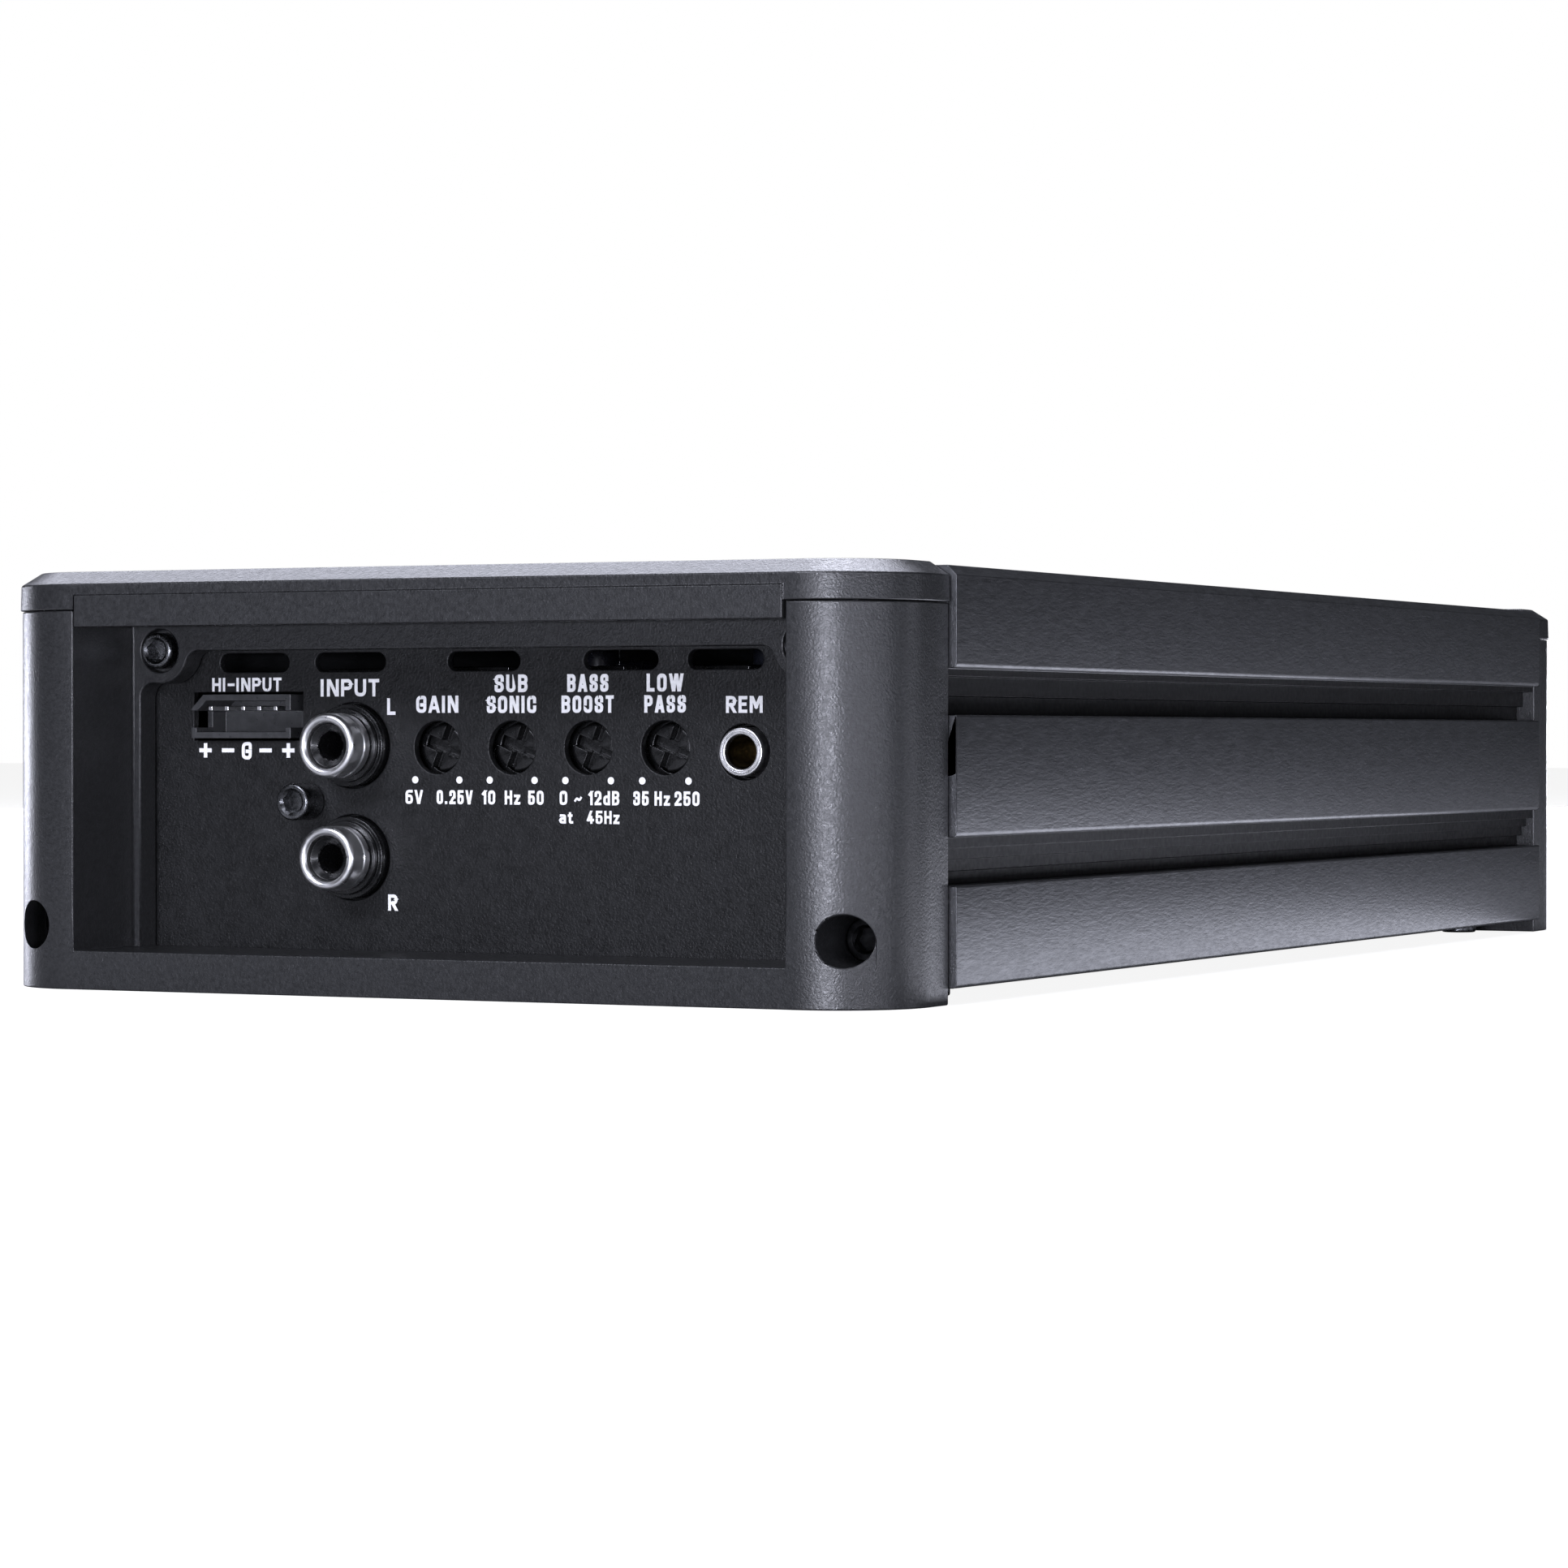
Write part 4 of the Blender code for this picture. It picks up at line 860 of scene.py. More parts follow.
def make_screws():
    key = (0.00155, 0.0016)
    for hand, turn in (("left", 12), ("right", 40)):
        for end, facing in (("front", FACING_FRONT), ("rear", FACING_REAR)):
            for place, head, finish_and_shade in (
                ("ear", (0.00235, 0.0022), "black_screw"),
                # the foot screws sit deep in their holes and take the darker material that paints their
                # shade
                ("foot", (0.00275, 0.0030), "screw_painted_shade"),
            ):
                name, node = f"{end}_{place}_bolt_{hand}", f"{end}_{place}_screw_{hand}"
                make_socket_screw(name, node, facing, head, key, turn, finish_and_shade)
    make_socket_screw("rca_block_bolt", "rca_block_screw", FACING_FRONT, (0.0024, 0.0040), key, 18)
    for number in range(1, 5):
        name, node = f"cover_bolt_{number}", f"cover_screw_{number}"
        make_socket_screw(name, node, FACING_DOWN, (0.0028, 0.0014), (0.0013, 0.0009), 25 * number)


def make_rca_sockets():
    low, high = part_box("rca_block")
    face = PANEL_BACK + GAP + FRONT_LOW.y
    upper, lower = middle("rca_sleeve_upper"), middle("rca_sleeve_lower")
    screw = middle("rca_block_screw")
    half = high.x - upper.x
    body = box("rca_socket_block", (upper.x - half, face, low.z), (upper.x + half, high.y, high.z))
    lug_low = (screw.x - 0.0030, face, screw.z - 0.0032)
    lug_high = (upper.x - half + 0.001, face + 0.0055, screw.z + 0.0032)
    join(body, box("lug", lug_low, lug_high))
    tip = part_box("rca_sleeve_upper")[0].y - FRONT_LOW.y + 0.0009
    for centre in (upper, lower):
        groove = 0.00025
        steps = [
            (RCA_INSERT_RADIUS, 0.0154),
            (0.00475, 0.01555),
            (0.00475 - groove, 0.01575),
            (0.00475, 0.01595),
            (0.00475, 0.0163),
            (0.0053, 0.0165),
            (0.0053 - groove, 0.0168),
            (0.0053, 0.0171),
            (0.0053, PANEL_BACK + 0.001),
        ]
        profile = [(0, -0.0006), (RCA_BORE_RADIUS, -0.0006), (RCA_INSERT_RADIUS - 0.0001, 0)]
        profile += [(RCA_INSERT_RADIUS, -0.0001)]
        level = 0.0
        for radius, end in steps:
            if abs(radius - profile[-1][0]) > 0.0005:
                profile.append((radius, level))
            level = tip - end
            profile.append((radius, level))
        profile.append((0, level))
        where = (centre.x, FRONT_LOW.y + tip, centre.z)
        join(body, turned("spigot", profile, where, steps=64))
        bore = (centre.x, FRONT_LOW.y + tip - 0.001, centre.z)
        cut(body, rod("bore", RCA_BORE_RADIUS, bore, 0.0180, 40))
    cut(body, rod("screw_hole", 0.0014, (screw.x, face - 0.001, screw.z), 0.0050, 16))
    soften(body, 0.00010, 2, 28)
    piece(body, "black_plastic", ["rca_block"])


def make_rca_sleeves():
    """Plated outer contacts: a rolled bright lip and a plain barrel with a step."""
    for level in ("upper", "lower"):
        node = f"rca_sleeve_{level}"
        low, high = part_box(node)
        radius, length = (high.x - low.x) / 2, high.y - low.y
        inner = RCA_INSERT_RADIUS + 0.00008
        lip = (radius - inner) / 2
        profile = arc(radius - lip, -lip, lip, 180, 0, 14)
        profile += [(radius, -length * 0.60), (radius - 0.00015, -length * 0.64)]
        profile += [(radius - 0.00015, -length * 0.70), (radius, -length * 0.74), (radius, -length)]
        profile += [(inner, -length)]
        tip = (middle(node).x, low.y, middle(node).z)
        sleeve = turned(f"rca_barrel_{level}", profile, tip, 72, closed=True)
        smooth(sleeve, 40)
        piece(sleeve, "nickel", [node])


def make_pots():
    """Trimmer controls: a shell with a collar, and a shaft with a cross slot and a domed rim."""
    for name in POT_NAMES:
        low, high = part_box(f"{name}_potentiometer")
        shaft_low, shaft_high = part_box(f"{name}_shaft")
        centre = (shaft_low + shaft_high) / 2
        radius = (shaft_high.x - shaft_low.x) / 2
        shell = box(f"{name}_pot_shell", low, high)
        join(shell, rod("collar", radius + 0.0013, (centre.x, low.y - 0.0006, centre.z), 0.002, 48))
        depth = shaft_high.y - low.y + GAP
        cut(shell, rod("bore", radius + 0.00025, (centre.x, low.y - 0.002, centre.z), depth + 0.002, 48))
        soften(shell, 0.0002, 2)
        piece(shell, "black_plastic", [f"{name}_potentiometer"])

        length = shaft_high.y - shaft_low.y
        edge = 0.00035
        profile = [(0, -0.0001), (radius * 0.35, -0.0001), (radius - edge, 0)]
        profile += arc(radius - edge, -edge, edge, 90, 0, 4)[1:] + [(radius, -length), (0, -length)]
        shaft = turned(f"{name}_pot_shaft", profile, (0, 0, 0), steps=64, facing=FACING_UP)
        for turn, half_width, depth in POT_SLOTS:
            cutter = box("slot", (-half_width, -0.0003, -depth), (half_width, 0.005, 0.002))
            cutter.data.transform(Matrix.Rotation(math.radians(turn - POT_REST_TURN), 4, "Z"))
            cut(shaft, cutter)
        shaft.data.transform(FACING_FRONT)
        shaft.location = (centre.x, shaft_low.y, centre.z)
        soften(shaft, 0.00009, 2, 28)
        piece(shaft, "black_plastic", [f"{name}_shaft"], body=f"{name}_control")


def make_remote_jack():
    low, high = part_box("remote_jack")
    tip = low.y
    body_y = low.y + 0.0033
    body = box("remote_jack_body", (low.x, body_y, low.z), (high.x, high.y, high.z))
    cut(body, rod("clear", 0.0032, (JACK.x, body_y - 0.001, JACK.z), 0.0140, 40))
    soften(body, 0.0002, 2)
    piece(body, "black_plastic", ["remote_jack"])
    outer, inner = 0.00305, 0.00215
    ring = (outer + inner) / 2
    profile = arc(outer - 0.0002, -0.0002, 0.0002, 90, 0, 4)
    profile += [(outer, -0.0050), (inner, -0.0050), (inner, -0.0004)]
    profile += arc(inner + 0.0002, -0.0002, 0.0002, 180, 90, 4)
    profile += [(ring - 0.00008, -0.00002), (ring, -0.00014), (ring + 0.00008, -0.00002)]
    bush = turned("remote_jack_bush", profile, (JACK.x, tip, JACK.z), 64, closed=True)
    piece(smooth(bush, 40), "nickel")
    profile = [(inner - 0.00002, -0.0008), (inner - 0.00002, -0.0125), (0, -0.0125)]
    profile += [(0, -0.0120), (0.0018, -0.0120), (0.00185, -0.0009)]
    liner = turned("remote_jack_contact", profile, (JACK.x, tip, JACK.z), 48)
    piece(smooth(liner, 40), "contact_brass", slot_name="nickel")


def make_header():
    low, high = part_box("speaker_input_header")
    key, wall = 0.0018, 0.0008
    x0, x1, z0, z1 = low.x, high.x, low.z, high.z
    outline = [(x0, z0), (x1, z0), (x1, z1), (x0 + key, z1), (x0, z1 - key)]
    shell = plate("speaker_input_shell", [outline], low.y, high.y)
    inner = [
        (x0 + wall, z0 + wall),
        (x1 - wall, z0 + wall),
        (x1 - wall, z1 - wall),
        (x0 + wall + key * 0.8, z1 - wall),
        (x0 + wall, z1 - wall - key * 0.8),
    ]
    cavity = plate("cavity", [inner], low.y - 0.001, low.y + 0.0070)
    slot_low = (x0 - 0.001, low.y - 0.001, z0 + 0.0014)
    slot_high = (x1 + 0.001, low.y + 0.0039, z0 + 0.0036)
    cut(shell, cavity, box("slots", slot_low, slot_high))
    soften(shell, 0.00008, 2)
    piece(shell, "header_nylon", ["speaker_input_header"], slot_name="black_plastic")
    z, half = 0.03635, 0.00032
    first = (x0 + x1) / 2 - 0.0001 - 2 * HEADER_PITCH
    for number in range(5):
        x = first + number * HEADER_PITCH
        pin_low, pin_high = (x - half, low.y + 0.0006, z - half), (x + half, low.y + 0.0072, z + half)
        pin = box(f"speaker_input_pin_{number + 1}", pin_low, pin_high)
        soften(pin, 0.00012, 1)
        piece(pin, "nickel")


# ------------------------------------------------------------------ lettering
# A plain alphabet of pen strokes. Each glyph is its width over its height, then its straight strokes
# and its rounded strokes; points run from 0 to 1 across the middle of the pen's stroke.
STEM = ((0, 0), (0, 1))
FAR_STEM = ((1, 0), (1, 1))
RING = ((0, 0.4), (0, 1), (1, 1), (1, 0), (0, 0), (0, 0.4))
GLYPHS = {
    "A": (0.62, (((0, 0), (0.42, 1)), ((1, 0), (0.58, 1)), ((0.2, 0.24), (0.8, 0.24))), ()),
    "B": (
        0.58,
        (STEM,),
        (((0, 1), (1, 1), (1, 0.53), (0, 0.53)), ((0, 0.53), (1, 0.53), (1, 0), (0, 0))),
    ),
    "C": (0.57, (), (((1, 0.70), (1, 1), (0, 1), (0, 0), (1, 0), (1, 0.30)),)),
    "D": (0.58, (STEM,), (((0, 1), (1, 1), (1, 0), (0, 0)),)),
    "E": (0.50, (STEM, ((0, 1), (1, 1)), ((0, 0.52), (0.85, 0.52)), ((0, 0), (1, 0))), ()),
    "F": (0.49, (STEM, ((0, 1), (1, 1)), ((0, 0.50), (0.85, 0.50))), ()),
    "G": (0.58, (((0.55, 0.46), (1, 0.46)),), (((1, 0.72), (1, 1), (0, 1), (0, 0), (1, 0), (1, 0.46)),)),
    "H": (0.58, (STEM, FAR_STEM, ((0, 0.52), (1, 0.52))), ()),
    "I": (0.20, (STEM,), ()),
    "K": (0.58, (STEM, ((0.95, 1), (0.12, 0.42)), ((0.35, 0.62), (1, 0))), ()),
    "L": (0.48, (STEM, ((0, 0), (1, 0))), ()),
    "M": (0.74, (STEM, FAR_STEM, ((0.12, 1), (0.5, 0.32)), ((0.88, 1), (0.5, 0.32))), ()),
    "N": (0.60, (STEM, FAR_STEM, ((0.14, 1), (0.86, 0))), ()),
    "O": (0.58, (), (RING,)),
    "P": (0.56, (STEM,), (((0, 1), (1, 1), (1, 0.46), (0, 0.46)),)),
    "R": (0.58, (STEM, ((0.45, 0.47), (0.95, 0))), (((0, 1), (1, 1), (1, 0.47), (0, 0.47)),)),
    "S": (0.56, (), (((1, 0.74), (1, 1), (0, 1), (0, 0.52), (1, 0.48), (1, 0), (0, 0), (0, 0.26)),)),
    "T": (0.54, (((0, 1), (1, 1)), ((0.5, 0), (0.5, 1))), ()),
    "U": (0.58, (), (((0, 1), (0, 0), (1, 0), (1, 1)),)),
    "V": (0.60, (((0, 1), (0.42, 0)), ((1, 1), (0.58, 0))), ()),
    "W": (
        0.86,
        (((0, 1), (0.22, 0)), ((0.46, 1), (0.28, 0)), ((0.54, 1), (0.72, 0)), ((1, 1), (0.78, 0))),
        (),
    ),
    "0": (0.55, (), (RING,)),
    "1": (0.34, (FAR_STEM, ((0, 0.80), (0.9, 1))), ()),
    "2": (
        0.54,
        (((0.94, 0.56), (0.05, 0.06)), ((0, 0), (1, 0))),
        (((0, 0.72), (0, 1), (1, 1), (1, 0.50)),),
    ),
    "3": (
        0.54,
        (),
        (
            ((0, 0.76), (0, 1), (1, 1), (1, 0.54), (0.4, 0.54)),
            ((0.4, 0.54), (1, 0.54), (1, 0), (0, 0), (0, 0.24)),
        ),
    ),
    "4": (0.56, (((0.6, 1), (0, 0.24)), ((0, 0.24), (1, 0.24)), ((0.7, 0), (0.7, 0.52))), ()),
    "5": (
        0.54,
        (((0.05, 1), (0.95, 1)), ((0.05, 1), (0.02, 0.5))),
        (((0, 0.56), (1, 0.62), (1, 0), (0, 0), (0, 0.24)),),
    ),
    "6": (
        0.55,
        (),
        (((0, 0.3), (0, 0.6), (1, 0.6), (1, 0), (0, 0), (0, 0.3)), ((0, 0.3), (0, 1), (0.95, 1))),
    ),
    "a": (
        0.50,
        (((1, 0), (1, 0.4)),),
        (((0.1, 0.64), (1, 0.64), (1, 0.3)), ((1, 0.36), (0, 0.36), (0, 0), (1, 0))),
    ),
    "d": (0.54, (FAR_STEM,), (((1, 0.62), (0, 0.62), (0, 0), (1, 0)),)),
    "t": (0.40, (((0, 0.64), (0.8, 0.64)),), (((0.35, 0.85), (0.35, 0), (1, 0)),)),
    "z": (0.48, (((0, 0.64), (1, 0.64)), ((0.92, 0.6), (0.08, 0.04)), ((0, 0), (1, 0))), ()),
    ".": (0.22, (((0, 0), (0, 0.02)),), ()),
    "-": (0.46, (((0, 0.5), (1, 0.5)),), ()),
    "+": (0.90, (((0, 0.5), (1, 0.5)), ((0.5, 0), (0.5, 1))), ()),
    "~": (0.60, (), (((0, 0.32), (0.3, 0.58), (0.7, 0.32), (1, 0.58)),)),
    " ": (0.36, (), ()),
}
INK_DEPTH = 0.00004
MILLI = 1000.0  # lettering is laid out in millimetres, so that its small triangles stay exact


def round_corners(points, radius):
    """The same open path with an arc at each corner."""
    path = [points[0]]
    for before, corner, after in zip(points, points[1:], points[2:]):
        back, forward = before - corner, after - corner
        opening = back.angle(forward)
        reach = min(radius / math.tan(opening / 2), back.length / 2, forward.length / 2)
        start, end = corner + back.normalized() * reach, corner + forward.normalized() * reach
        for i in range(7):
            t = i / 6
            path.append(start * (1 - t) ** 2 + corner * (2 * t * (1 - t)) + end * t**2)
    return path + [points[-1]]


def ribbon(points, half):
    """The triangles of a pen stroke along a path, joined at its corners and all wound the same way."""
    sides = []
    for i, point in enumerate(points):
        ahead = (points[min(i + 1, len(points) - 1)] - points[min(i, len(points) - 2)]).normalized()
        behind = (points[max(i, 1)] - points[max(i - 1, 0)]).normalized()
        across = Vector((-ahead.y - behind.y, ahead.x + behind.x)).normalized()
        reach = half / max(0.5, across.dot(Vector((-ahead.y, ahead.x))))
        sides.append((point + across * reach, point - across * reach))
    triangles = []
    for a, b in zip(sides, sides[1:]):
        for corners in ((a[1], b[1], b[0]), (a[1], b[0], a[0])):
            turn = (corners[1] - corners[0]).cross(corners[2] - corners[0])
            if abs(turn) > 0.0001:
                triangles.append(corners if turn > 0 else corners[::-1])
    return triangles


def glyph_strokes(character, left, width, height, weight):
    """Every pen-stroke triangle of one character whose box starts at left, in millimetres."""
    straight, rounded = GLYPHS[character][1:]
    triangles = []
    for strokes, is_round in ((straight, False), (rounded, True)):
        for stroke in strokes:
            points = [
                Vector((left + weight / 2 + u * (width - weight), weight / 2 + v * (height - weight)))
                for u, v in stroke
            ]
            closed = stroke[0] == stroke[-1]
            if is_round:
                points = round_corners(points, height * 0.26)
            if not closed:
                ends = (stroke[0][1], stroke[-1][1])
                for end, level in zip((0, -1), ends):
                    away = (points[end] - points[1 if end == 0 else -2]).normalized()
                    over = weight if level in (0, 1) and abs(away.y) > 0.6 else weight / 2
                    points[end] = points[end] + away * over
            triangles += ribbon(points, weight / 2)
    return triangles


def trimmed(polygon, level, side):
    """The part of a polygon above (side 1) or below (side -1) a level line."""
    kept = []
    for here, ahead in zip(polygon, polygon[1:] + polygon[:1]):
        above, next_above = side * (here.y - level), side * (ahead.y - level)
        if above >= 0:
            kept.append(here)
        if above * next_above < 0:
            kept.append(here.lerp(ahead, above / (above - next_above)))
    return kept


def is_solid(polygon):
    """Whether a polygon is more than a sliver, which would confuse the merging of the strokes."""
    area = sum(a.cross(b) for a, b in zip(polygon, polygon[1:] + polygon[:1])) / 2
    longest = max((a - b).length for a in polygon for b in polygon)
    return area > 0.004 * longest


def surrounds(polygon, point):
    """Whether a point lies in a convex polygon."""
    return all((b - a).cross(point - a) >= 0 for a, b in zip(polygon, polygon[1:] + polygon[:1]))


def flat_glyph(bm, polygons, height):
    """Adds the merged outline of one character's strokes, trimmed to its height, as flat faces."""
    polygons = [trimmed(trimmed(list(p), 0, 1), height, -1) for p in polygons]
    polygons = [p for p in polygons if len(p) > 2 and is_solid(p)]
    coords = [point for polygon in polygons for point in polygon]
    faces, first = [], 0
    for polygon in polygons:
        faces.append(list(range(first, first + len(polygon))))
        first += len(polygon)
    points, _, triangles, _, _, sources = geometry.delaunay_2d_cdt(coords, [], faces, 0, 0.00001)
    verts = [bm.verts.new((point.x, point.y, 0)) for point in points]
    for triangle, source in zip(triangles, sources):
        centre = sum((points[i] for i in triangle), Vector((0, 0))) / 3
        if any(surrounds(polygons[number], centre) for number in source):
            bm.faces.new([verts[i] for i in triangle])


def label(name, text, x, z0, z1, width, weight=0.2, rear=False, depth=PANEL_Y, body="housing"):
    """Ink lettering on a panel or a face at that depth from the end's face, centred on x and width wide.

    It reaches from z0 up to z1, and weight is the width of a stroke over the height."""
    height, span = (z1 - z0) * MILLI, width * MILLI
    stroke, gap = weight * height, 0.16 * height
    scale = (span - gap * (len(text) - 1)) / sum(GLYPHS[c][0] for c in text)
    bm = bmesh.new()
    left = -span / 2
    for character in text:
        advance = GLYPHS[character][0] * scale
        strokes = glyph_strokes(character, left, max(advance, stroke), height, stroke)
        if strokes:
            flat_glyph(bm, strokes, height)
        left += advance + gap
    bmesh.ops.delete(bm, geom=[v for v in bm.verts if not v.link_faces], context="VERTS")
    bmesh.ops.remove_doubles(bm, verts=bm.verts, dist=0.0001)
    bmesh.ops.dissolve_limit(bm, angle_limit=0.01, verts=bm.verts, edges=bm.edges)
    top = bmesh.ops.extrude_face_region(bm, geom=list(bm.faces))["geom"]
    raised = [v for v in top if isinstance(v, bmesh.types.BMVert)]
    bmesh.ops.translate(bm, vec=(0, 0, INK_DEPTH * MILLI), verts=raised)
    bmesh.ops.recalc_face_normals(bm, faces=bm.faces)
    bmesh.ops.scale(bm, vec=(1 / MILLI,) * 3, verts=bm.verts)
    printed = from_bmesh(name, bm)
    printed.data.transform(Matrix.Translation((x, depth, z0)) @ FACING_FRONT)
    at_end(printed, rear)
    piece(printed, "white_ink", body=body, slot_name="panel_steel")


def dot(name, x, z, radius=0.00046, rear=False):
    mark = rod(name, radius, (x, PANEL_Y - INK_DEPTH, z), INK_DEPTH, 28)
    piece(at_end(mark, rear), "white_ink", slot_name="panel_steel")


CONTROL_LABELS = (  # name, text, centre X, bottom Z, top Z, width
    ("gain", "GAIN", -0.00716, 0.0357, 0.0379, 0.00625),
    ("sub", "SUB", 0.0037, 0.0383, 0.04055, 0.0048),
    ("sonic", "SONIC", 0.00375, 0.03565, 0.03785, 0.0072),
    ("bass", "BASS", 0.0148, 0.0383, 0.04055, 0.0059),
    ("boost", "BOOST", 0.01477, 0.03565, 0.03785, 0.0075),
    ("low", "LOW", 0.0258, 0.0383, 0.04055, 0.0052),
    ("pass", "PASS", 0.0258, 0.03565, 0.03785, 0.00587),
    ("rem", "REM", 0.0369, 0.0356, 0.0377, 0.0051),
    ("input", "INPUT", -0.02024, 0.03785, 0.0401, 0.00885),
    ("hi_input", "HI-INPUT", -0.0360, 0.03855, 0.04035, 0.0107),
    ("left", "L", -0.0140, 0.03545, 0.0376, 0.00125),
    ("right", "R", -0.0138, 0.0102, 0.0123, 0.0014),
    ("ground", "G", -0.0360, 0.02965, 0.03195, 0.00153),
)
SCALE_LABELS = (  # name, text, centre X, width
    ("gain_low", "6V", -0.0106, 0.00255),
    ("gain_high", "0.25V", -0.0046, 0.0053),
    ("subsonic_low", "10", 0.0004, 0.00195),
    ("subsonic_unit", "Hz", 0.0039, 0.00226),
    ("subsonic_high", "50", 0.0073, 0.00225),
    ("boost_low", "0", 0.0113, 0.0011),
    ("boost_high", "12dB", 0.0171, 0.0044),
    ("pass_low", "35", 0.0224, 0.00218),
    ("pass_unit", "Hz", 0.0254, 0.00218),
    ("pass_high", "250", 0.0289, 0.0035),
)


def make_control_lettering():
    for name, text, x, z0, z1, width in CONTROL_LABELS:
        label(f"label_{name}", text, x, z0, z1, width)
    for name, text, x, width in SCALE_LABELS:
        label(f"scale_{name}", text, x, 0.0240, 0.0258, width, weight=0.19)
    label("scale_at", "at", 0.0117, 0.02165, 0.0233, 0.00198, weight=0.19)
    label("scale_45", "45Hz", 0.0170, 0.02165, 0.0233, 0.00466, weight=0.19)
    label("scale_to", "~", 0.0134, 0.0240, 0.0256, 0.0011, weight=0.17)
    for name in POT_NAMES:
        for side in (-1, 1):
            tag = "low" if side < 0 else "high"
            dot(f"mark_{name}_{tag}", middle(f"{name}_shaft").x + side * 0.00327, 0.0271)
    for tag, x in (("left", -0.0424), ("right", -0.0296)):
        label(f"label_plus_{tag}", "+", x, 0.0299, 0.0318, 0.0019, weight=0.28)
    for tag, x in (("left", -0.0389), ("right", -0.0331)):
        label(f"label_minus_{tag}", "-", x, 0.0299, 0.0318, 0.0019, weight=0.28)


# ------------------------------------------------------------------ power end
def make_power_panel():
    low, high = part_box("rear_panel")
    holes = shared_panel_holes()
    for block in TERMINALS:
        corner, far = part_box(f"{block}_terminal_block")
        holes.append(rectangle(corner.x - GAP, corner.z - GAP, far.x + GAP, far.z + GAP))
    for letter in "ab":
        corner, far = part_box(f"fuse_{letter}")
        reach = 0.0012
        holes.append(rectangle(corner.x - reach, corner.z - reach, far.x + reach, far.z + reach))
    led = middle("status_led")
    holes.append(circle(led.x, led.z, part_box("status_led")[1].x - led.x + GAP, 32))
    panel = plate("power_panel", [panel_outline()] + holes, low.y, high.y, edge=PANEL_EDGE)
    piece(even(panel), "panel_steel", ["rear_panel"])


def make_terminal_blocks():
    """Nylon blocks with a lead-in to each wire hole, a plated socket inside it and a screw hole above."""
    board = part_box("main_board")[1]
    for block, terminals in TERMINALS.items():
        low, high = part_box(f"{block}_terminal_block")
        body = box(f"{block}_terminal_housing", low, high)
        relief_high = (high.x + 0.001, board.y + GAP, board.z + GAP)
        cut(body, box("relief", (low.x - 0.001, low.y - 0.001, 0), relief_high))
        for name, wire_radius in terminals:
            screw_low, screw_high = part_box(f"{name}_clamp_screw")
            x, y = middle(f"{name}_clamp_screw").xy
            hole_radius = (screw_high.x - screw_low.x) / 2 + GAP
            bore, mouth = (x, high.y + 0.001, WIRE_Z), (x, high.y + 0.00001, WIRE_Z)
            top = (x, y, high.z + 0.001)
            cut(body, rod("wire_hole", wire_radius, bore, WIRE_DEPTH + 0.001, 48, FACING_REAR))
            wide = wire_radius + 0.0011
            cut(body, rod("lead_in", wide, mouth, 0.0013, 48, FACING_REAR, far_radius=wire_radius))
            cut(body, rod("screw_hole", hole_radius, top, high.z - WIRE_Z + 0.001, 40, FACING_UP))
            outer, inner, end = wire_radius - 0.00005, wire_radius - 0.0005, 0.0010 - WIRE_DEPTH
            profile = [(outer, -0.0016), (outer, end), (inner, end)]
            profile += [(inner, -0.0020), (inner + 0.0003, -0.0016)]
            tip = (x, high.y, WIRE_Z)
            socket = turned(f"{name}_wire_socket", profile, tip, 48, FACING_REAR, closed=True)
            way_radius, way_top = hole_radius + 0.0001, (x, y, high.z)
            cut(socket, rod("screw_way", way_radius, way_top, high.z - WIRE_Z, 40, FACING_UP))
            piece(smooth(socket), "nickel")
        places = sorted(middle(f"{name}_clamp_screw").x for name, _ in terminals)
        for left, right in zip(places, places[1:]):
            x = (left + right) / 2
            x0, beyond = x - 0.0006, (x + 0.0006, high.y + FAR, high.z + FAR)
            cut(body, box("groove", (x0, high.y - 0.0009, low.z - 0.001), beyond))
            cut(body, box("groove", (x0, REAR_LOW.y + 0.002, high.z - 0.0009), beyond))
        soften(body, 0.00025, 2)
        piece(body, "black_plastic", [f"{block}_terminal_block"])


def make_clamp_screws():
    """Set screws: a chamfered top with a hexagon key, threads down to a dog point."""
    pitch = 0.0007
    for terminals in TERMINALS.values():
        for name, _ in terminals:
            low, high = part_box(f"{name}_clamp_screw")
            radius, length = (high.x - low.x) / 2, high.z - low.z
            root = radius - 0.0003
            profile = [(0, 0), (radius - 0.0005, 0), (radius, -0.0005)]
            for i in range(int((length - 0.0018) / pitch)):
                level = -0.0007 - i * pitch
                profile += [(radius, level), (root, level - pitch * 0.4), (root, level - pitch * 0.5)]
            profile += [(root, 0.0008 - length), (root - 0.0005, -length), (0, -length)]
            screw = turned(f"{name}_set_screw", profile, (0, 0, 0), 40, FACING_UP)
            cut(screw, rod("key", radius * 0.56, (0, 0, 0.001), 0.0035, 6, FACING_UP))
            wide, narrow, just_above = radius * 0.64, radius * 0.5, (0, 0, 0.00001)
            cut(screw, rod("lead", wide, just_above, 0.0003, 24, FACING_UP, far_radius=narrow))
            x, y = middle(f"{name}_clamp_screw").xy
            screw.data.transform(Matrix.Translation((x, y, high.z)))
            piece(smooth(screw, 30), "black_screw", [f"{name}_clamp_screw"], body=f"{name}_clamp")


def make_fuses():
    """Blade fuses: a clear waisted moulding round two blades and the thin element that joins them."""
    for letter in "ab":
        make_fuse_moulding(letter)
        make_fuse_metal(letter)
        low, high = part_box(f"fuse_{letter}")
        x, z = (low.x + high.x) / 2, (low.z + high.z) / 2
        name, depth, rides_on = f"fuse_{letter}_rating", REAR_HIGH.y - high.y, f"blade_fuse_{letter}"
        label(name, "30", -x, z - 0.0013, z + 0.0013, 0.0038, 0.2, True, depth, rides_on)


def fuse_inner_face():
    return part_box("fuse_socket")[1].y + GAP


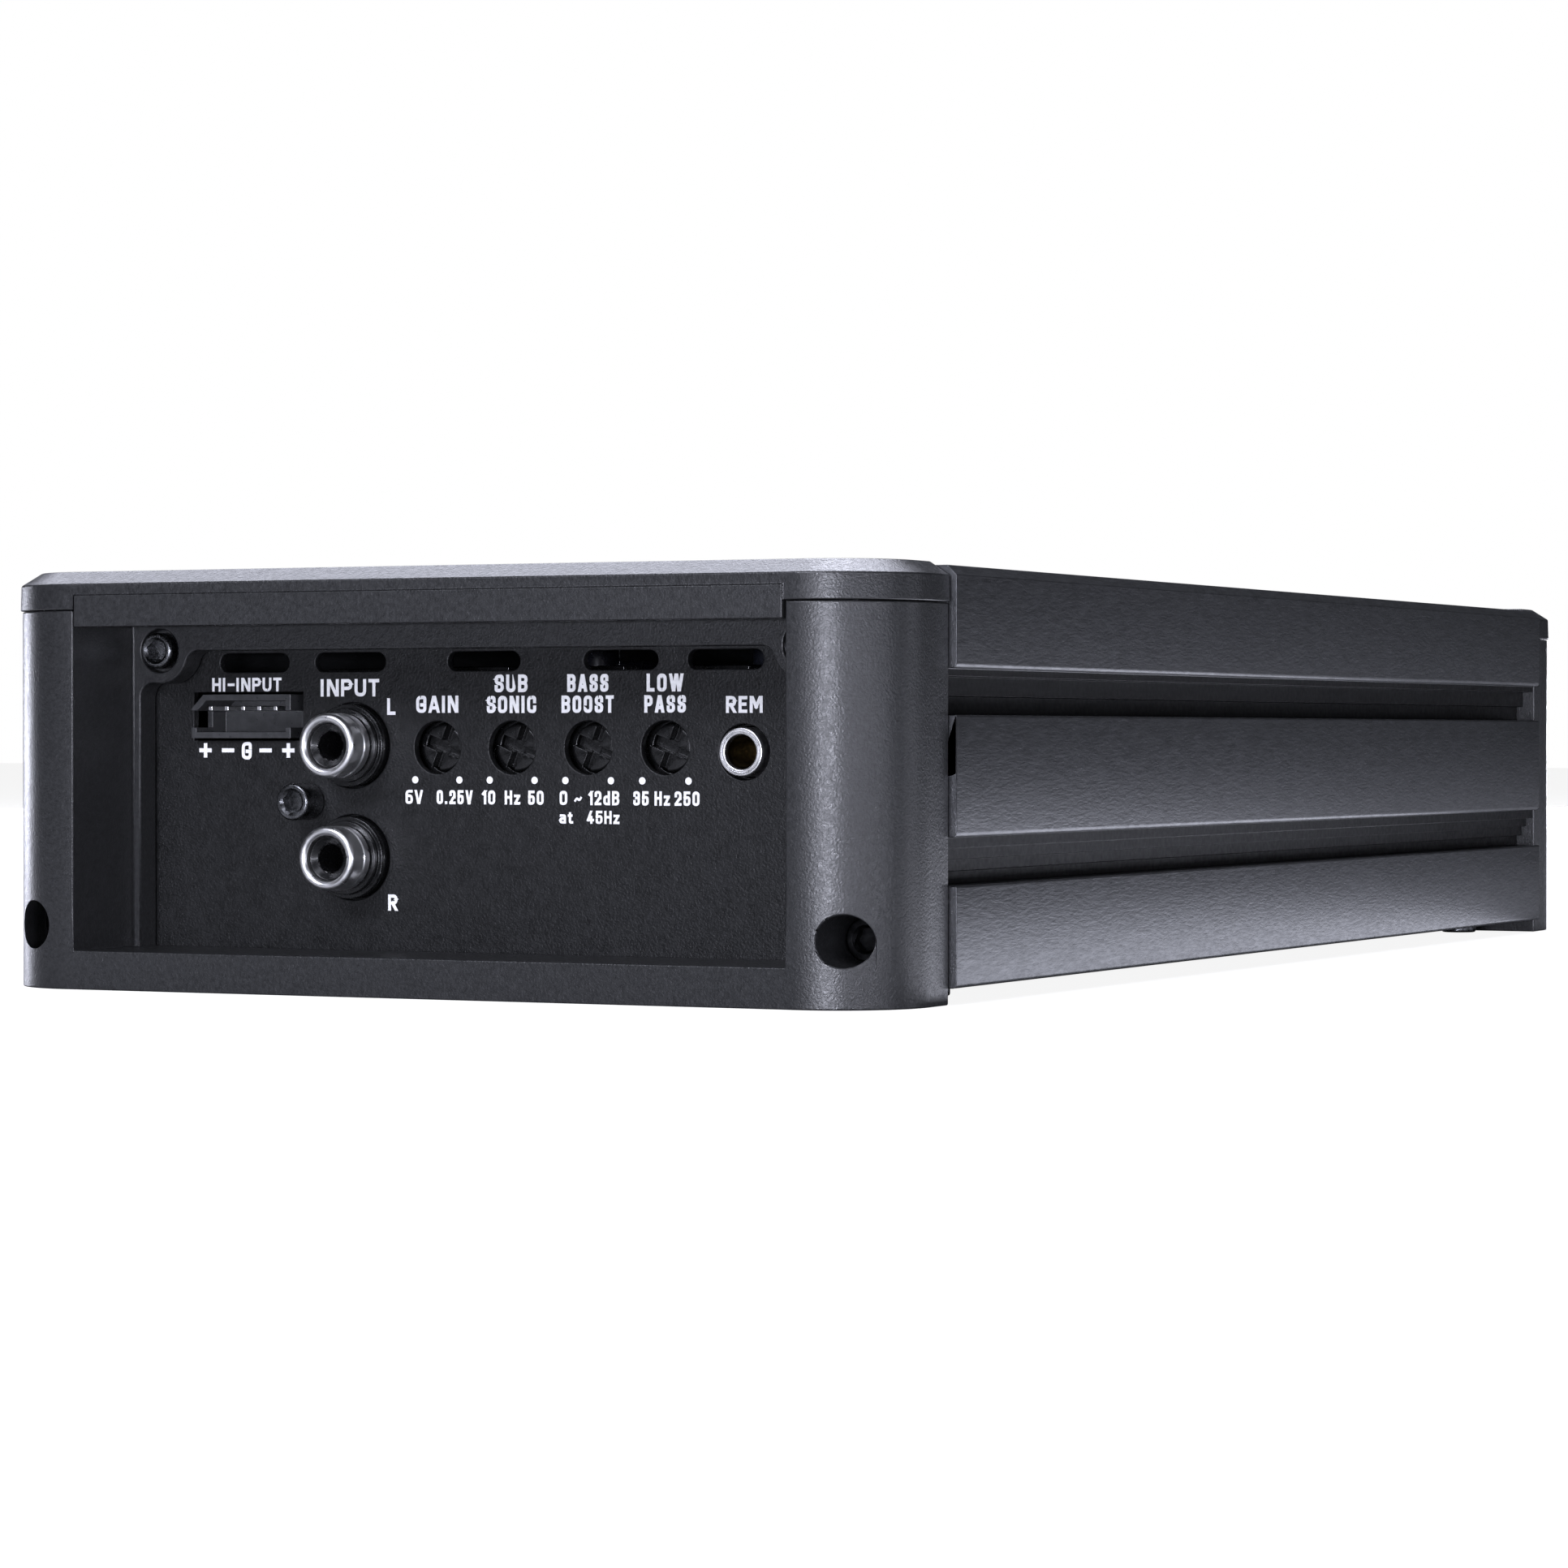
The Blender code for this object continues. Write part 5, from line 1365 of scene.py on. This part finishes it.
def make_fuse_moulding(letter):
    low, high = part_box(f"fuse_{letter}")
    x, z = (low.x + high.x) / 2, (low.z + high.z) / 2
    inner, shoulder, setback = fuse_inner_face(), high.y - 0.0042, 0.0009
    top = shoulder + 0.001
    body = box(f"fuse_{letter}_moulding", (low.x, shoulder, low.z), high)
    waist_low = (low.x + setback, inner, low.z + 0.0006)
    join(body, box("waist", waist_low, (high.x - setback, top, high.z - 0.0006)))
    for side in (-1, 1):
        edge = x + side * (high.x - x - setback)
        join(body, box("flange", (edge - 0.0009, inner, low.z), (edge + 0.0009, top, high.z)))
        probe = x + side * BLADE_X
        hole_low = (probe - 0.0009, high.y - 0.0018, z - 0.0006)
        cut(body, box("probe_hole", hole_low, (probe + 0.0009, high.y + 0.001, z + 0.0006)))
    soften(body, 0.00025, 2)
    piece(body, "fuse_plastic", [f"fuse_{letter}"], body=f"blade_fuse_{letter}")


def make_fuse_metal(letter):
    low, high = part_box(f"fuse_{letter}")
    x, z, rides_on = (low.x + high.x) / 2, (low.z + high.z) / 2, f"blade_fuse_{letter}"
    tip, root, half, taper = low.y, high.y - 0.0022, BLADE_HALF_WIDTH, 0.0011
    for side, hand in ((-1, "left"), (1, "right")):
        blade_x = x + side * BLADE_X
        x0, x1 = blade_x - half, blade_x + half
        outline = [(x0 + taper, tip), (x1 - taper, tip), (x1, tip + taper)]
        outline += [(x1, root), (x0, root), (x0, tip + taper)]
        name, thickness = f"fuse_{letter}_blade_{hand}", BLADE_HALF_THICKNESS
        blade = plate(name, [outline], z - thickness, z + thickness, upright=False)
        piece(soften(blade, 0.00012, 1), "nickel", body=rides_on, slot_name="fuse_plastic")
    reach, foot = BLADE_X - BLADE_HALF_WIDTH + 0.0004, fuse_inner_face() + 0.0034
    rise, steps = 0.0018, 24
    wave = [
        (x - reach + 2 * reach * i / steps, foot + rise * math.sin(math.pi * i / steps))
        for i in range(steps + 1)
    ]
    outline = wave + [(px, py + 0.0007) for px, py in reversed(wave)]
    element = plate(f"fuse_{letter}_element", [outline], z - 0.00015, z + 0.00015, upright=False)
    piece(even(element), "nickel", body=rides_on, slot_name="fuse_plastic")


def make_fuse_socket():
    low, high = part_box("fuse_socket")
    socket = box("fuse_holder", low, (high.x, REAR_HIGH.y - PANEL_BACK - GAP, high.z))
    half_x, half_z = BLADE_HALF_WIDTH + GAP, BLADE_HALF_THICKNESS + GAP
    wide_x, wide_z = half_x + 0.0003, half_z + 0.0004
    floor, lead = high.y - BLADE_SLOT_DEPTH, high.y - 0.0004
    for letter in "ab":
        corner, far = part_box(f"fuse_{letter}")
        reach = 0.0008
        x, z = (corner.x + far.x) / 2, (corner.z + far.z) / 2
        collar_low = (corner.x - reach, low.y + 0.001, low.z)
        join(socket, box("collar", collar_low, (far.x + reach, high.y, high.z)))
        for side, hand in ((-1, "left"), (1, "right")):
            x0 = x + side * BLADE_X
            for name, wide, tall, start in (
                ("slot", half_x, half_z, floor),
                ("lead_in", wide_x, wide_z, lead),
            ):
                cut(socket, box(name, (x0 - wide, start, z - tall), (x0 + wide, high.y + FAR, z + tall)))
            strip_low = (x0 - half_x + 0.0003, floor, z - half_z)
            strip_high = (x0 + half_x - 0.0003, high.y - 0.0012, z - half_z + 0.00012)
            strip = box(f"fuse_{letter}_contact_{hand}", strip_low, strip_high)
            piece(soften(strip, 0.00004, 1), "nickel")
    soften(socket, 0.00022, 2)
    piece(socket, "black_plastic", ["fuse_socket"])


def make_status_led():
    low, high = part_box("status_led")
    radius, length = (high.x - low.x) / 2, high.y - low.y
    angles, rim = [math.radians(a) for a in range(0, 91, 9)], 0.0010
    profile = [(radius * math.sin(a), radius * (math.cos(a) - 1)) for a in angles]
    profile += [(radius, rim - length), (radius, -length), (0, -length)]
    tip = (middle("status_led").x, high.y, middle("status_led").z)
    led = turned("status_led_lens", profile, tip, 48, FACING_REAR)
    piece(smooth(led, 40), "led_lens", ["status_led"])


def make_power_lettering():
    block_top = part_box("power_terminal_block")[1].z
    z0, z1 = block_top + 0.0013, block_top + 0.0033
    words = (("battery", "BATT", 0.0068), ("remote", "REM", 0.0051), ("ground", "GND", 0.0054))
    for node, text, width in words:
        label(f"label_{node}", text, -middle(f"{node}_clamp_screw").x, z0, z1, width, rear=True)
    plus, minus = middle("speaker_plus_clamp_screw").x, middle("speaker_minus_clamp_screw").x
    label("label_speaker", "SPEAKER", -(plus + minus) / 2, z0, z1, 0.0100, rear=True)
    label("label_speaker_plus", "+", -plus, z0, z1, 0.0020, weight=0.28, rear=True)
    label("label_speaker_minus", "-", -minus, z0, z1, 0.0020, weight=0.28, rear=True)
    between = (middle("fuse_a").x + middle("fuse_b").x) / 2
    label("label_fuse", "FUSE", -between, 0.0389, 0.0406, 0.0050, rear=True)
    label("label_power", "POWER", -middle("status_led").x, 0.0375, 0.0393, 0.0068, rear=True)


# ------------------------------------------------------------------ underside and inner parts
def make_bottom_cover():
    low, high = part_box("bottom_cover")
    outline = rounded_rectangle(low.x, low.y, high.x, high.y, 0.0010)
    holes = [circle(*middle(f"cover_screw_{n}").xy, CLEAR_HOLE_RADIUS, 24) for n in range(1, 5)]
    for y in (-COVER_VENT_Y, COVER_VENT_Y):
        for column in range(-2, 3):
            x = column * COVER_VENT_PITCH
            holes.append(slot(x, y, COVER_VENT_HALF_LENGTH, COVER_VENT_HALF_WIDTH))
    cover = plate("bottom_plate", [outline] + holes, low.z, high.z, upright=False)
    piece(soften(cover, 0.00018, 2), "cover_steel", ["bottom_cover"])


def wound_core(name, node, wire, turns):
    """A ring core with one layer of enamelled wire, and two legs down to the board."""
    low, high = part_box(node)
    centre, tube = (low + high) / 2, (high.z - low.z) / 2
    ring = (high.x - low.x) / 2 - tube
    core_tube, angles = tube - 2 * wire, [math.radians(a) for a in range(60, -300, -15)]
    profile = [(ring + core_tube * math.cos(a), core_tube * math.sin(a)) for a in angles]
    core = turned(f"{name}_core", profile, centre, 48, FACING_UP, closed=True)
    piece(smooth(core, 60), "frame_plastic", slot_name="copper_winding")
    steps, reach = 20, tube - wire
    path = []
    for i in range(turns * steps):
        around, along = math.tau * i / steps, math.tau * i / (turns * steps)
        out, up = ring + reach * math.cos(around), reach * math.sin(around)
        path.append(centre + Vector((out * math.cos(along), out * math.sin(along), up)))
    winding = wire_loop(f"{name}_winding", path, wire)
    board_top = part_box("main_board")[1].z
    for side in (-1, 1):
        x = centre.x + side * (ring + reach * 0.6)
        top = centre.z - reach * 0.5
        join(winding, rod("leg", wire, (x, centre.y, top), top - board_top, 12, FACING_UP))
    piece(smooth(winding, 60), "copper_winding", [node])


def wire_loop(name, path, radius):
    """Round wire along a closed path."""
    curve = bpy.data.curves.new(name, "CURVE")
    curve.dimensions = "3D"
    curve.bevel_depth = radius
    curve.bevel_resolution = 2
    return solid_curve(name, curve, [path])


def make_capacitors():
    """Cans in a shrunk sleeve with a crimp near the foot and a scored bare top."""
    for node in ("supply_capacitor_1", "supply_capacitor_2", "rail_capacitor_1", "rail_capacitor_2"):
        low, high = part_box(node)
        (x, y), radius, top = middle(node).xy, (high.x - low.x) / 2, high.z - low.z
        crimp = 0.0032
        profile = [(0, top - 0.0006), (radius - 0.0016, top - 0.0006), (radius - 0.0016, top - 0.0001)]
        profile += arc(radius - 0.0010, top - 0.0010, 0.0010, 90, 0, 6)
        profile += [(radius, crimp + 0.0012)]
        for i in range(1, 8):
            profile.append((radius - 0.0008 * math.sin(math.pi * i / 8), crimp + 0.0012 - 0.0003 * i))
        profile += [(radius, crimp - 0.0012), (radius, 0.0006), (radius - 0.0006, 0), (0, 0)]
        sleeve = turned(f"{node}_sleeve", profile, (x, y, low.z), 64, FACING_UP)
        piece(smooth(sleeve), "capacitor_sleeve", [node])
        where = (x, y, high.z - 0.0002)
        disc = rod(f"{node}_top", radius - 0.0017, where, 0.0004, 64, FACING_UP)
        for turn in (0, 60, 120):
            reach = radius * 0.55
            score = box("score", (-reach, -0.00025, -0.00012), (reach, 0.00025, 0.001))
            turned_by = Matrix.Rotation(math.radians(turn), 4, "Z")
            score.data.transform(Matrix.Translation(where) @ turned_by)
            cut(disc, score)
        piece(soften(disc, 0.00008, 1), "bare_aluminium", slot_name="capacitor_sleeve")


def make_power_transistors():
    """Power transistors held to the wall by a bar and its screws."""
    for kind in ("supply", "output"):
        for number in (1, 2):
            make_power_transistor(f"{kind}_transistor_{number}")
        make_clamp_bar(kind)


def make_power_transistor(node):
    """A moulded body on a plated tab with three legs."""
    board_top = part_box("main_board")[1].z
    low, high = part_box(node)
    side = 1 if low.x > 0 else -1
    wall, face = (high.x, low.x) if side > 0 else (low.x, high.x)
    x0, x1 = sorted((wall - side * 0.0013, face))
    body = box(f"{node}_body", (x0, low.y, low.z), (x1, high.y, high.z - 0.0010))
    piece(soften(body, 0.0004, 2), "black_plastic", [node])
    x0, x1 = sorted((wall, wall - side * 0.0012))
    tab = box(f"{node}_tab", (x0, low.y + 0.0008, low.z + 0.0010), (x1, high.y - 0.0008, high.z))
    piece(soften(tab, 0.00012, 1), "nickel", slot_name="black_plastic")
    x = (low.x + high.x) / 2
    for leg in (-1, 0, 1):
        y = (low.y + high.y) / 2 + leg * 0.0027
        pin_high = (x + 0.0003, y + 0.0006, low.z + 0.0004)
        pin = box(f"{node}_leg_{leg + 2}", (x - 0.0003, y - 0.0006, board_top), pin_high)
        piece(soften(pin, 0.0001, 1), "nickel", slot_name="black_plastic")


def make_clamp_bar(kind):
    node = f"{kind}_clamp_bar"
    low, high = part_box(node)
    side = 1 if low.x > 0 else -1
    bar = box(f"{kind}_pressure_bar", low, high)
    centre, head, facing = (low + high) / 2, -side * 0.0016, FACING_SIDE[-side]
    face = low.x if side > 0 else high.x
    piece(soften(bar, 0.00035, 2), "bare_aluminium", [node])
    for number, y in enumerate((low.y + 0.004, centre.y, high.y - 0.004), 1):
        name = f"{kind}_bar_screw_{number}"
        screw = rod(name, 0.0025, (face + head, y, centre.z), 0.0016, 32, facing)
        cut(screw, rod("key", 0.0014, (face + head * 1.5, y, centre.z), 0.0018, 6, facing))
        piece(soften(screw, 0.0002, 2), "black_screw")


def blocks(name, places, material, edge=0.00012):
    """Many small bevelled blocks as one piece.

    places are (x, y, z, width, depth, height), with z at each block's foot."""
    bm = bmesh.new()
    for x, y, z, width, depth, height in places:
        made = bmesh.ops.create_cube(bm, size=1.0)["verts"]
        bmesh.ops.scale(bm, vec=(width, depth, height), verts=made)
        bmesh.ops.translate(bm, vec=(x, y, z + height / 2), verts=made)
    piece(soften(from_bmesh(name, bm), edge, 1), material, slot_name="board")


def surface_parts(name, z, chips, resistors):
    """Integrated circuits with their legs and rows of chip resistors standing on a board at height z."""
    legs, ends, bodies = [], [], []
    for x, y in chips:
        for side in (-1, 1):
            leg_y = y + side * 0.0027
            legs += [(x + i * CHIP_PITCH, leg_y, z, 0.0004, 0.0012, 0.0005) for i in range(-3, 4)]
    for x, y in resistors:
        bodies.append((x, y, z, 0.0012, 0.00125, 0.00055))
        ends += [(x + side * 0.0008, y, z, 0.0004, 0.00128, 0.00058) for side in (-1, 1)]
    packages = [(x, y, z + 0.0002, 0.0088, 0.0040, 0.0015) for x, y in chips]
    blocks(f"{name}_chips", packages, "black_plastic", 0.0002)
    blocks(f"{name}_resistors", bodies, "black_plastic", 0.00008)
    blocks(f"{name}_contacts", legs + ends, "nickel", 0.00005)


def make_boards():
    for node in ("main_board", "control_board"):
        low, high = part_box(node)
        board = box(f"{node}_laminate", low, high)
        piece(soften(board, 0.0001, 1), "circuit_board", [node], slot_name="board")
    low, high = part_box("control_board")
    chips = [(x, low.y + 0.024) for x in (-0.034, -0.017, 0.017, 0.034)]
    chips += [(x, low.y + 0.0125) for x in (-0.008, 0.009, 0.027)]
    rows = (0.0185, 0.0330)
    resistors = [(low.x + 0.005 + i * 0.0040, low.y + row) for i in range(20) for row in rows]
    surface_parts("control_board", high.z, chips, resistors)
    for number, x in enumerate((-0.0255, -0.0085, 0.0, 0.0255), 1):
        small_capacitor(f"control_board_capacitor_{number}", x, low.y + 0.0290, high.z, 0.0025, 0.0050)
    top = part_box("main_board")[1].z
    chips = [(-0.034, -0.060), (-0.034, -0.075), (0.038, 0.030), (0.038, 0.045)]
    resistors = [(-0.050 + i * 0.0038, -0.093) for i in range(8)]
    resistors += [(0.024 + i * 0.0038, 0.058) for i in range(7)]
    surface_parts("main_board", top, chips, resistors)
    places = ((-0.045, -0.045), (-0.045, 0.075), (0.044, 0.075), (0.044, 0.010))
    for number, (x, y) in enumerate(places, 1):
        small_capacitor(f"main_board_capacitor_{number}", x, y, top, 0.0040, 0.0110)


def small_capacitor(name, x, y, z, radius, height):
    profile = [(0, height - 0.0002), (radius - 0.0007, height - 0.0002), (radius - 0.0005, height)]
    profile += [(radius - 0.0002, height - 0.00005), (radius, height - 0.0004), (radius, 0.0014)]
    profile += [(radius - 0.0003, 0.0011), (radius, 0.0008), (radius, 0), (0, 0)]
    piece(smooth(turned(name, profile, (x, y, z), 40, FACING_UP)), "capacitor_sleeve")


def make_board_riser():
    """The connector between the boards: a moulded strip with a rib for each contact."""
    low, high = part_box("board_riser")
    strip = box("board_connector", low, high)
    count = 10
    pitch = (high.x - low.x) / count
    for i in range(1, count):
        x = low.x + i * pitch
        for y in (low.y, high.y):
            flute_high = (x + 0.0004, y + 0.0005, high.z - 0.002)
            cut(strip, box("flute", (x - 0.0004, y - 0.0005, low.z + 0.002), flute_high))
    piece(soften(strip, 0.00018, 1), "black_plastic", ["board_riser"])


# ------------------------------------------------------------------ studio
def seen_and_lit(tree, seen, lit):
    """Joins the shader that the camera sees with the one that lights the object."""
    path = tree.nodes.new("ShaderNodeLightPath")
    mix = tree.nodes.new("ShaderNodeMixShader")
    tree.links.new(path.outputs["Is Camera Ray"], mix.inputs[0])
    tree.links.new(lit, mix.inputs[1])
    tree.links.new(seen, mix.inputs[2])
    return mix.outputs[0]


def make_floor():
    """A pale floor: white to the camera with a soft shade under the object, and a mild bounce."""
    floor = box("floor", (-4, -4, -0.02), (4, 4, 0))
    paint = Paint("floor", 0.9)
    paint.colours(paint.noise(0.4), (0.3, (0.30, 0.30, 0.30)), (0.7, (0.32, 0.32, 0.32)))
    tree = paint.tree
    glow = tree.nodes.new("ShaderNodeEmission")
    glow.inputs["Strength"].default_value = 0.90
    add = tree.nodes.new("ShaderNodeAddShader")
    tree.links.new(glow.outputs[0], add.inputs[0])
    tree.links.new(paint.shader.outputs[0], add.inputs[1])
    output = tree.nodes["Material Output"]
    tree.links.new(seen_and_lit(tree, add.outputs[0], paint.shader.outputs[0]), output.inputs["Surface"])
    floor.data.materials.append(paint.material)


COOL_LIGHT = (0.95, 0.97, 1.12)


def area_light(name, azimuth, elevation, distance, size, power, target=(0, 0, 0.03)):
    """A soft box seen from the target at the given azimuth and elevation in degrees."""
    data = bpy.data.lights.new(name, "AREA")
    data.shape = "RECTANGLE"
    data.size, data.size_y = size
    data.energy = power
    data.color = COOL_LIGHT
    light = new_object(name, data)
    a, e = math.radians(azimuth), math.radians(elevation)
    direction = Vector((math.cos(a) * math.cos(e), math.sin(a) * math.cos(e), math.sin(e)))
    light.location = Vector(target) + direction * distance
    light.rotation_euler = direction.to_track_quat("Z", "Y").to_euler()
    light.visible_camera = False
    return light


def make_world():
    world = bpy.data.worlds.new("studio")
    bpy.context.scene.world = world
    world.use_nodes = True
    tree = world.node_tree
    lit = tree.nodes["Background"]
    lit.inputs["Color"].default_value = (0.85, 0.93, 1.0, 1)
    lit.inputs["Strength"].default_value = 0.02
    seen = tree.nodes.new("ShaderNodeBackground")
    seen.inputs["Color"].default_value = (1, 1, 1, 1)
    surface = tree.nodes["World Output"].inputs["Surface"]
    tree.links.new(seen_and_lit(tree, seen.outputs[0], lit.outputs[0]), surface)


def floor_glow(name, near, far, power):
    """Light thrown up by the bright floor beside the amplifier, from near to far off its side."""
    size = (far - near, 2 * SINK_HIGH.y)
    glow = area_light(name, 0, 90, 0, size, power, (SINK_HIGH.x + (near + far) / 2, 0, 0.0005))
    glow.rotation_euler = (math.pi, 0, 0)


def make_lights():
    """Low boxes below the level of the amplifier's top light its sides, and high boxes its edges."""
    level = (CAP_TOP - 0.002) / 2
    for face, towards, width, boxes in (
        ("front", (0.02, FRONT_LOW.y, level), 0.26, ((-101, 0.4), (-88, 2.0), (-76, 8.4), (-50, 1.6))),
        ("right", (0.06, -0.1, level), 0.35, ((-35, 1.6), (-15, 1.3), (25, 0.6))),
        ("rear", (0, REAR_HIGH.y, level), 0.26, ((102, 3.5), (128, 3.0))),
        ("left", (-0.06, 0, level), 0.35, ((165, 3.0),)),
    ):
        for azimuth, power in boxes:
            name = f"{face}_box_at_{azimuth}"
            area_light(name, azimuth, 0, 1.35, (width, 0.045), power, towards)
    front = (0.02, FRONT_LOW.y, 0.03)
    area_light("high_box_left", -101, 35, 1.3, (0.5, 0.4), 11, front)
    area_light("high_box_right", -60, 50, 1.3, (0.6, 0.6), 2.5, front)
    area_light("high_box_back", 138, 50, 1.2, (0.8, 0.8), 10, front)
    area_light("high_box_rear", 100, 60, 1.2, (0.6, 0.6), 10, front)
    floor_glow("floor_glow_near", 0.002, 0.028, 0.049)
    floor_glow("floor_glow_far", 0.030, 0.090, 0.112)


def make_camera():
    data = bpy.data.cameras.new("camera")
    data.lens, data.sensor_width = 107.73, 36
    data.clip_start, data.clip_end = 0.01, 20
    camera = new_object("camera", data)
    camera.location = (0.29812, -0.63991, 0.03275)
    camera.rotation_euler = (math.radians(90 - 0.588), 0, math.radians(26.162))
    bpy.context.scene.camera = camera


# ------------------------------------------------------------------ the amplifier
dress_cad_nodes()
for end_name, is_rear in (("front", False), ("rear", True)):
    make_frame(end_name, is_rear)
    make_cap(end_name, is_rear)
make_heatsink()
make_control_panel()
make_screws()
make_rca_sockets()
make_rca_sleeves()
make_pots()
make_remote_jack()
make_header()
make_control_lettering()
make_power_panel()
make_terminal_blocks()
make_clamp_screws()
make_fuse_socket()
make_fuses()
make_status_led()
make_power_lettering()
make_bottom_cover()
wound_core("transformer", "supply_transformer", 0.0007, 24)
wound_core("inductor", "output_inductor", 0.0006, 20)
make_capacitors()
make_power_transistors()
make_boards()
make_board_riser()

make_floor()
make_world()
make_lights()
make_camera()
bpy.context.scene.view_settings.view_transform = "Standard"
